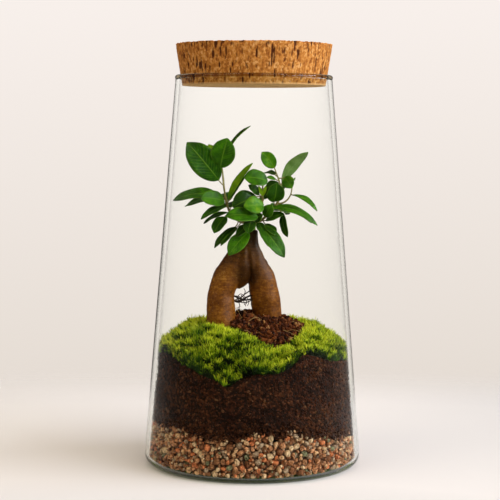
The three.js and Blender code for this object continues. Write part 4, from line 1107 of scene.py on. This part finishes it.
hollow = add("MapRange", {0: pit, 1: 0.08, 2: 0.45, 4: 0.9})
deep = add("Math", {0: spot, 1: hollow}, operation="MAXIMUM")
pitted = add("Mix", {0: deep, 6: base, 7: linear("#44190a")}, data_type="RGBA")
up = add("SeparateXYZ", {0: place})
# The lower edge is painted paler: a painted highlight.
lower_edge_light = add("MapRange", {0: up.outputs[2], 1: LOWER_LIGHT_START, 2: LOWER_LIGHT_FULL, 4: 0.8})
colour = add("Mix", {0: lower_edge_light, 6: pitted.outputs[2], 7: linear("#ffc88a")}, data_type="RGBA")
bump = add("Bump", {"Height": streaks, "Strength": 0.5, "Distance": 0.6 * MM})
feed(shader, {"Base Color": colour.outputs[2], "Normal": bump})
finish_piece("cork_disc", cork, [cork_bark], "cork", "cork_stopper")


# The light: a wide soft lamp on the right, like a window, which throws the long faint shadow on
# the table, and three weaker ones: on the left, in front, and straight above the cork.
def lamp(name, place, aim, width, height, power, colour):
    """A rectangular lamp; place, aim and size are in metres, power in watts."""
    light = bpy.data.lights.new(name, "AREA")
    light.shape = "RECTANGLE"
    light.size, light.size_y = width, height
    light.energy = power
    light.color = linear(colour)[:3]
    holder = added(name, light)
    holder.location = place
    holder.rotation_euler = (Vector(aim) - Vector(place)).to_track_quat("-Z", "Y").to_euler()


JAR_CENTRE = (0, 0, 0.15)
lamp("lamp_right", (2.4, -0.72, 1.25), JAR_CENTRE, 3.3, 1.1, 107, "#f0f4ff")
lamp("lamp_left", (-1.0, -0.7, 0.9), JAR_CENTRE, 1.3, 0.9, 5.2, "#ffeed2")
lamp("lamp_front", (0.5, -1.15, 0.95), JAR_CENTRE, 0.7, 0.5, 4.2, "#fff2de")
lamp("lamp_top", (0, 0, 1.4), (0, 0, 0), 1.0, 1.0, 10.3, "#fff2e2")

# The room: a pale wall all round, a little darker towards the table. Through the glass it is seen
# brighter, which lights the jar's edges, but not high up and not after more than one reflection.
# On everything else it gives only its weak daylight.
THROUGH, THROUGH_HIGH, DAYLIGHT = 1.21, 0.121, 0.175
world = bpy.data.worlds.new("room")
world.use_nodes = True
scene.world = world
add = partial(add_node, world.node_tree)
way = add("SeparateXYZ", {0: add("TexCoord").outputs["Generated"]})
height = add("MapRange", {0: way.outputs[2], 1: -0.17, 2: 0.08})
wall = add("ValToRGB", {0: height}, [(0, "#e5dcd3"), (1, "#f8f0eb")])
ray = add("LightPath")
walls = add("Math", {0: ray.outputs["Transmission Depth"], 1: 2.5}, operation="GREATER_THAN")
limit = add("Math", {0: 1.5, 1: walls}, operation="SUBTRACT")
straight = add("Math", {0: ray.outputs["Glossy Depth"], 1: limit}, operation="LESS_THAN")
bright = add("MapRange", {0: way.outputs[2], 1: 0.14, 2: 0.3, 3: THROUGH, 4: THROUGH_HIGH})
share = add("Math", {0: straight, 1: bright}, operation="MULTIPLY")
through = add("Math", {0: ray.outputs["Is Transmission Ray"], 1: share}, operation="MULTIPLY")
seen = add("Math", {0: ray.outputs["Is Camera Ray"], 1: through}, operation="ADD")
power = add("Math", {0: seen, 1: DAYLIGHT}, operation="MAXIMUM")
feed(world.node_tree.nodes["Background"], {0: wall, 1: power})
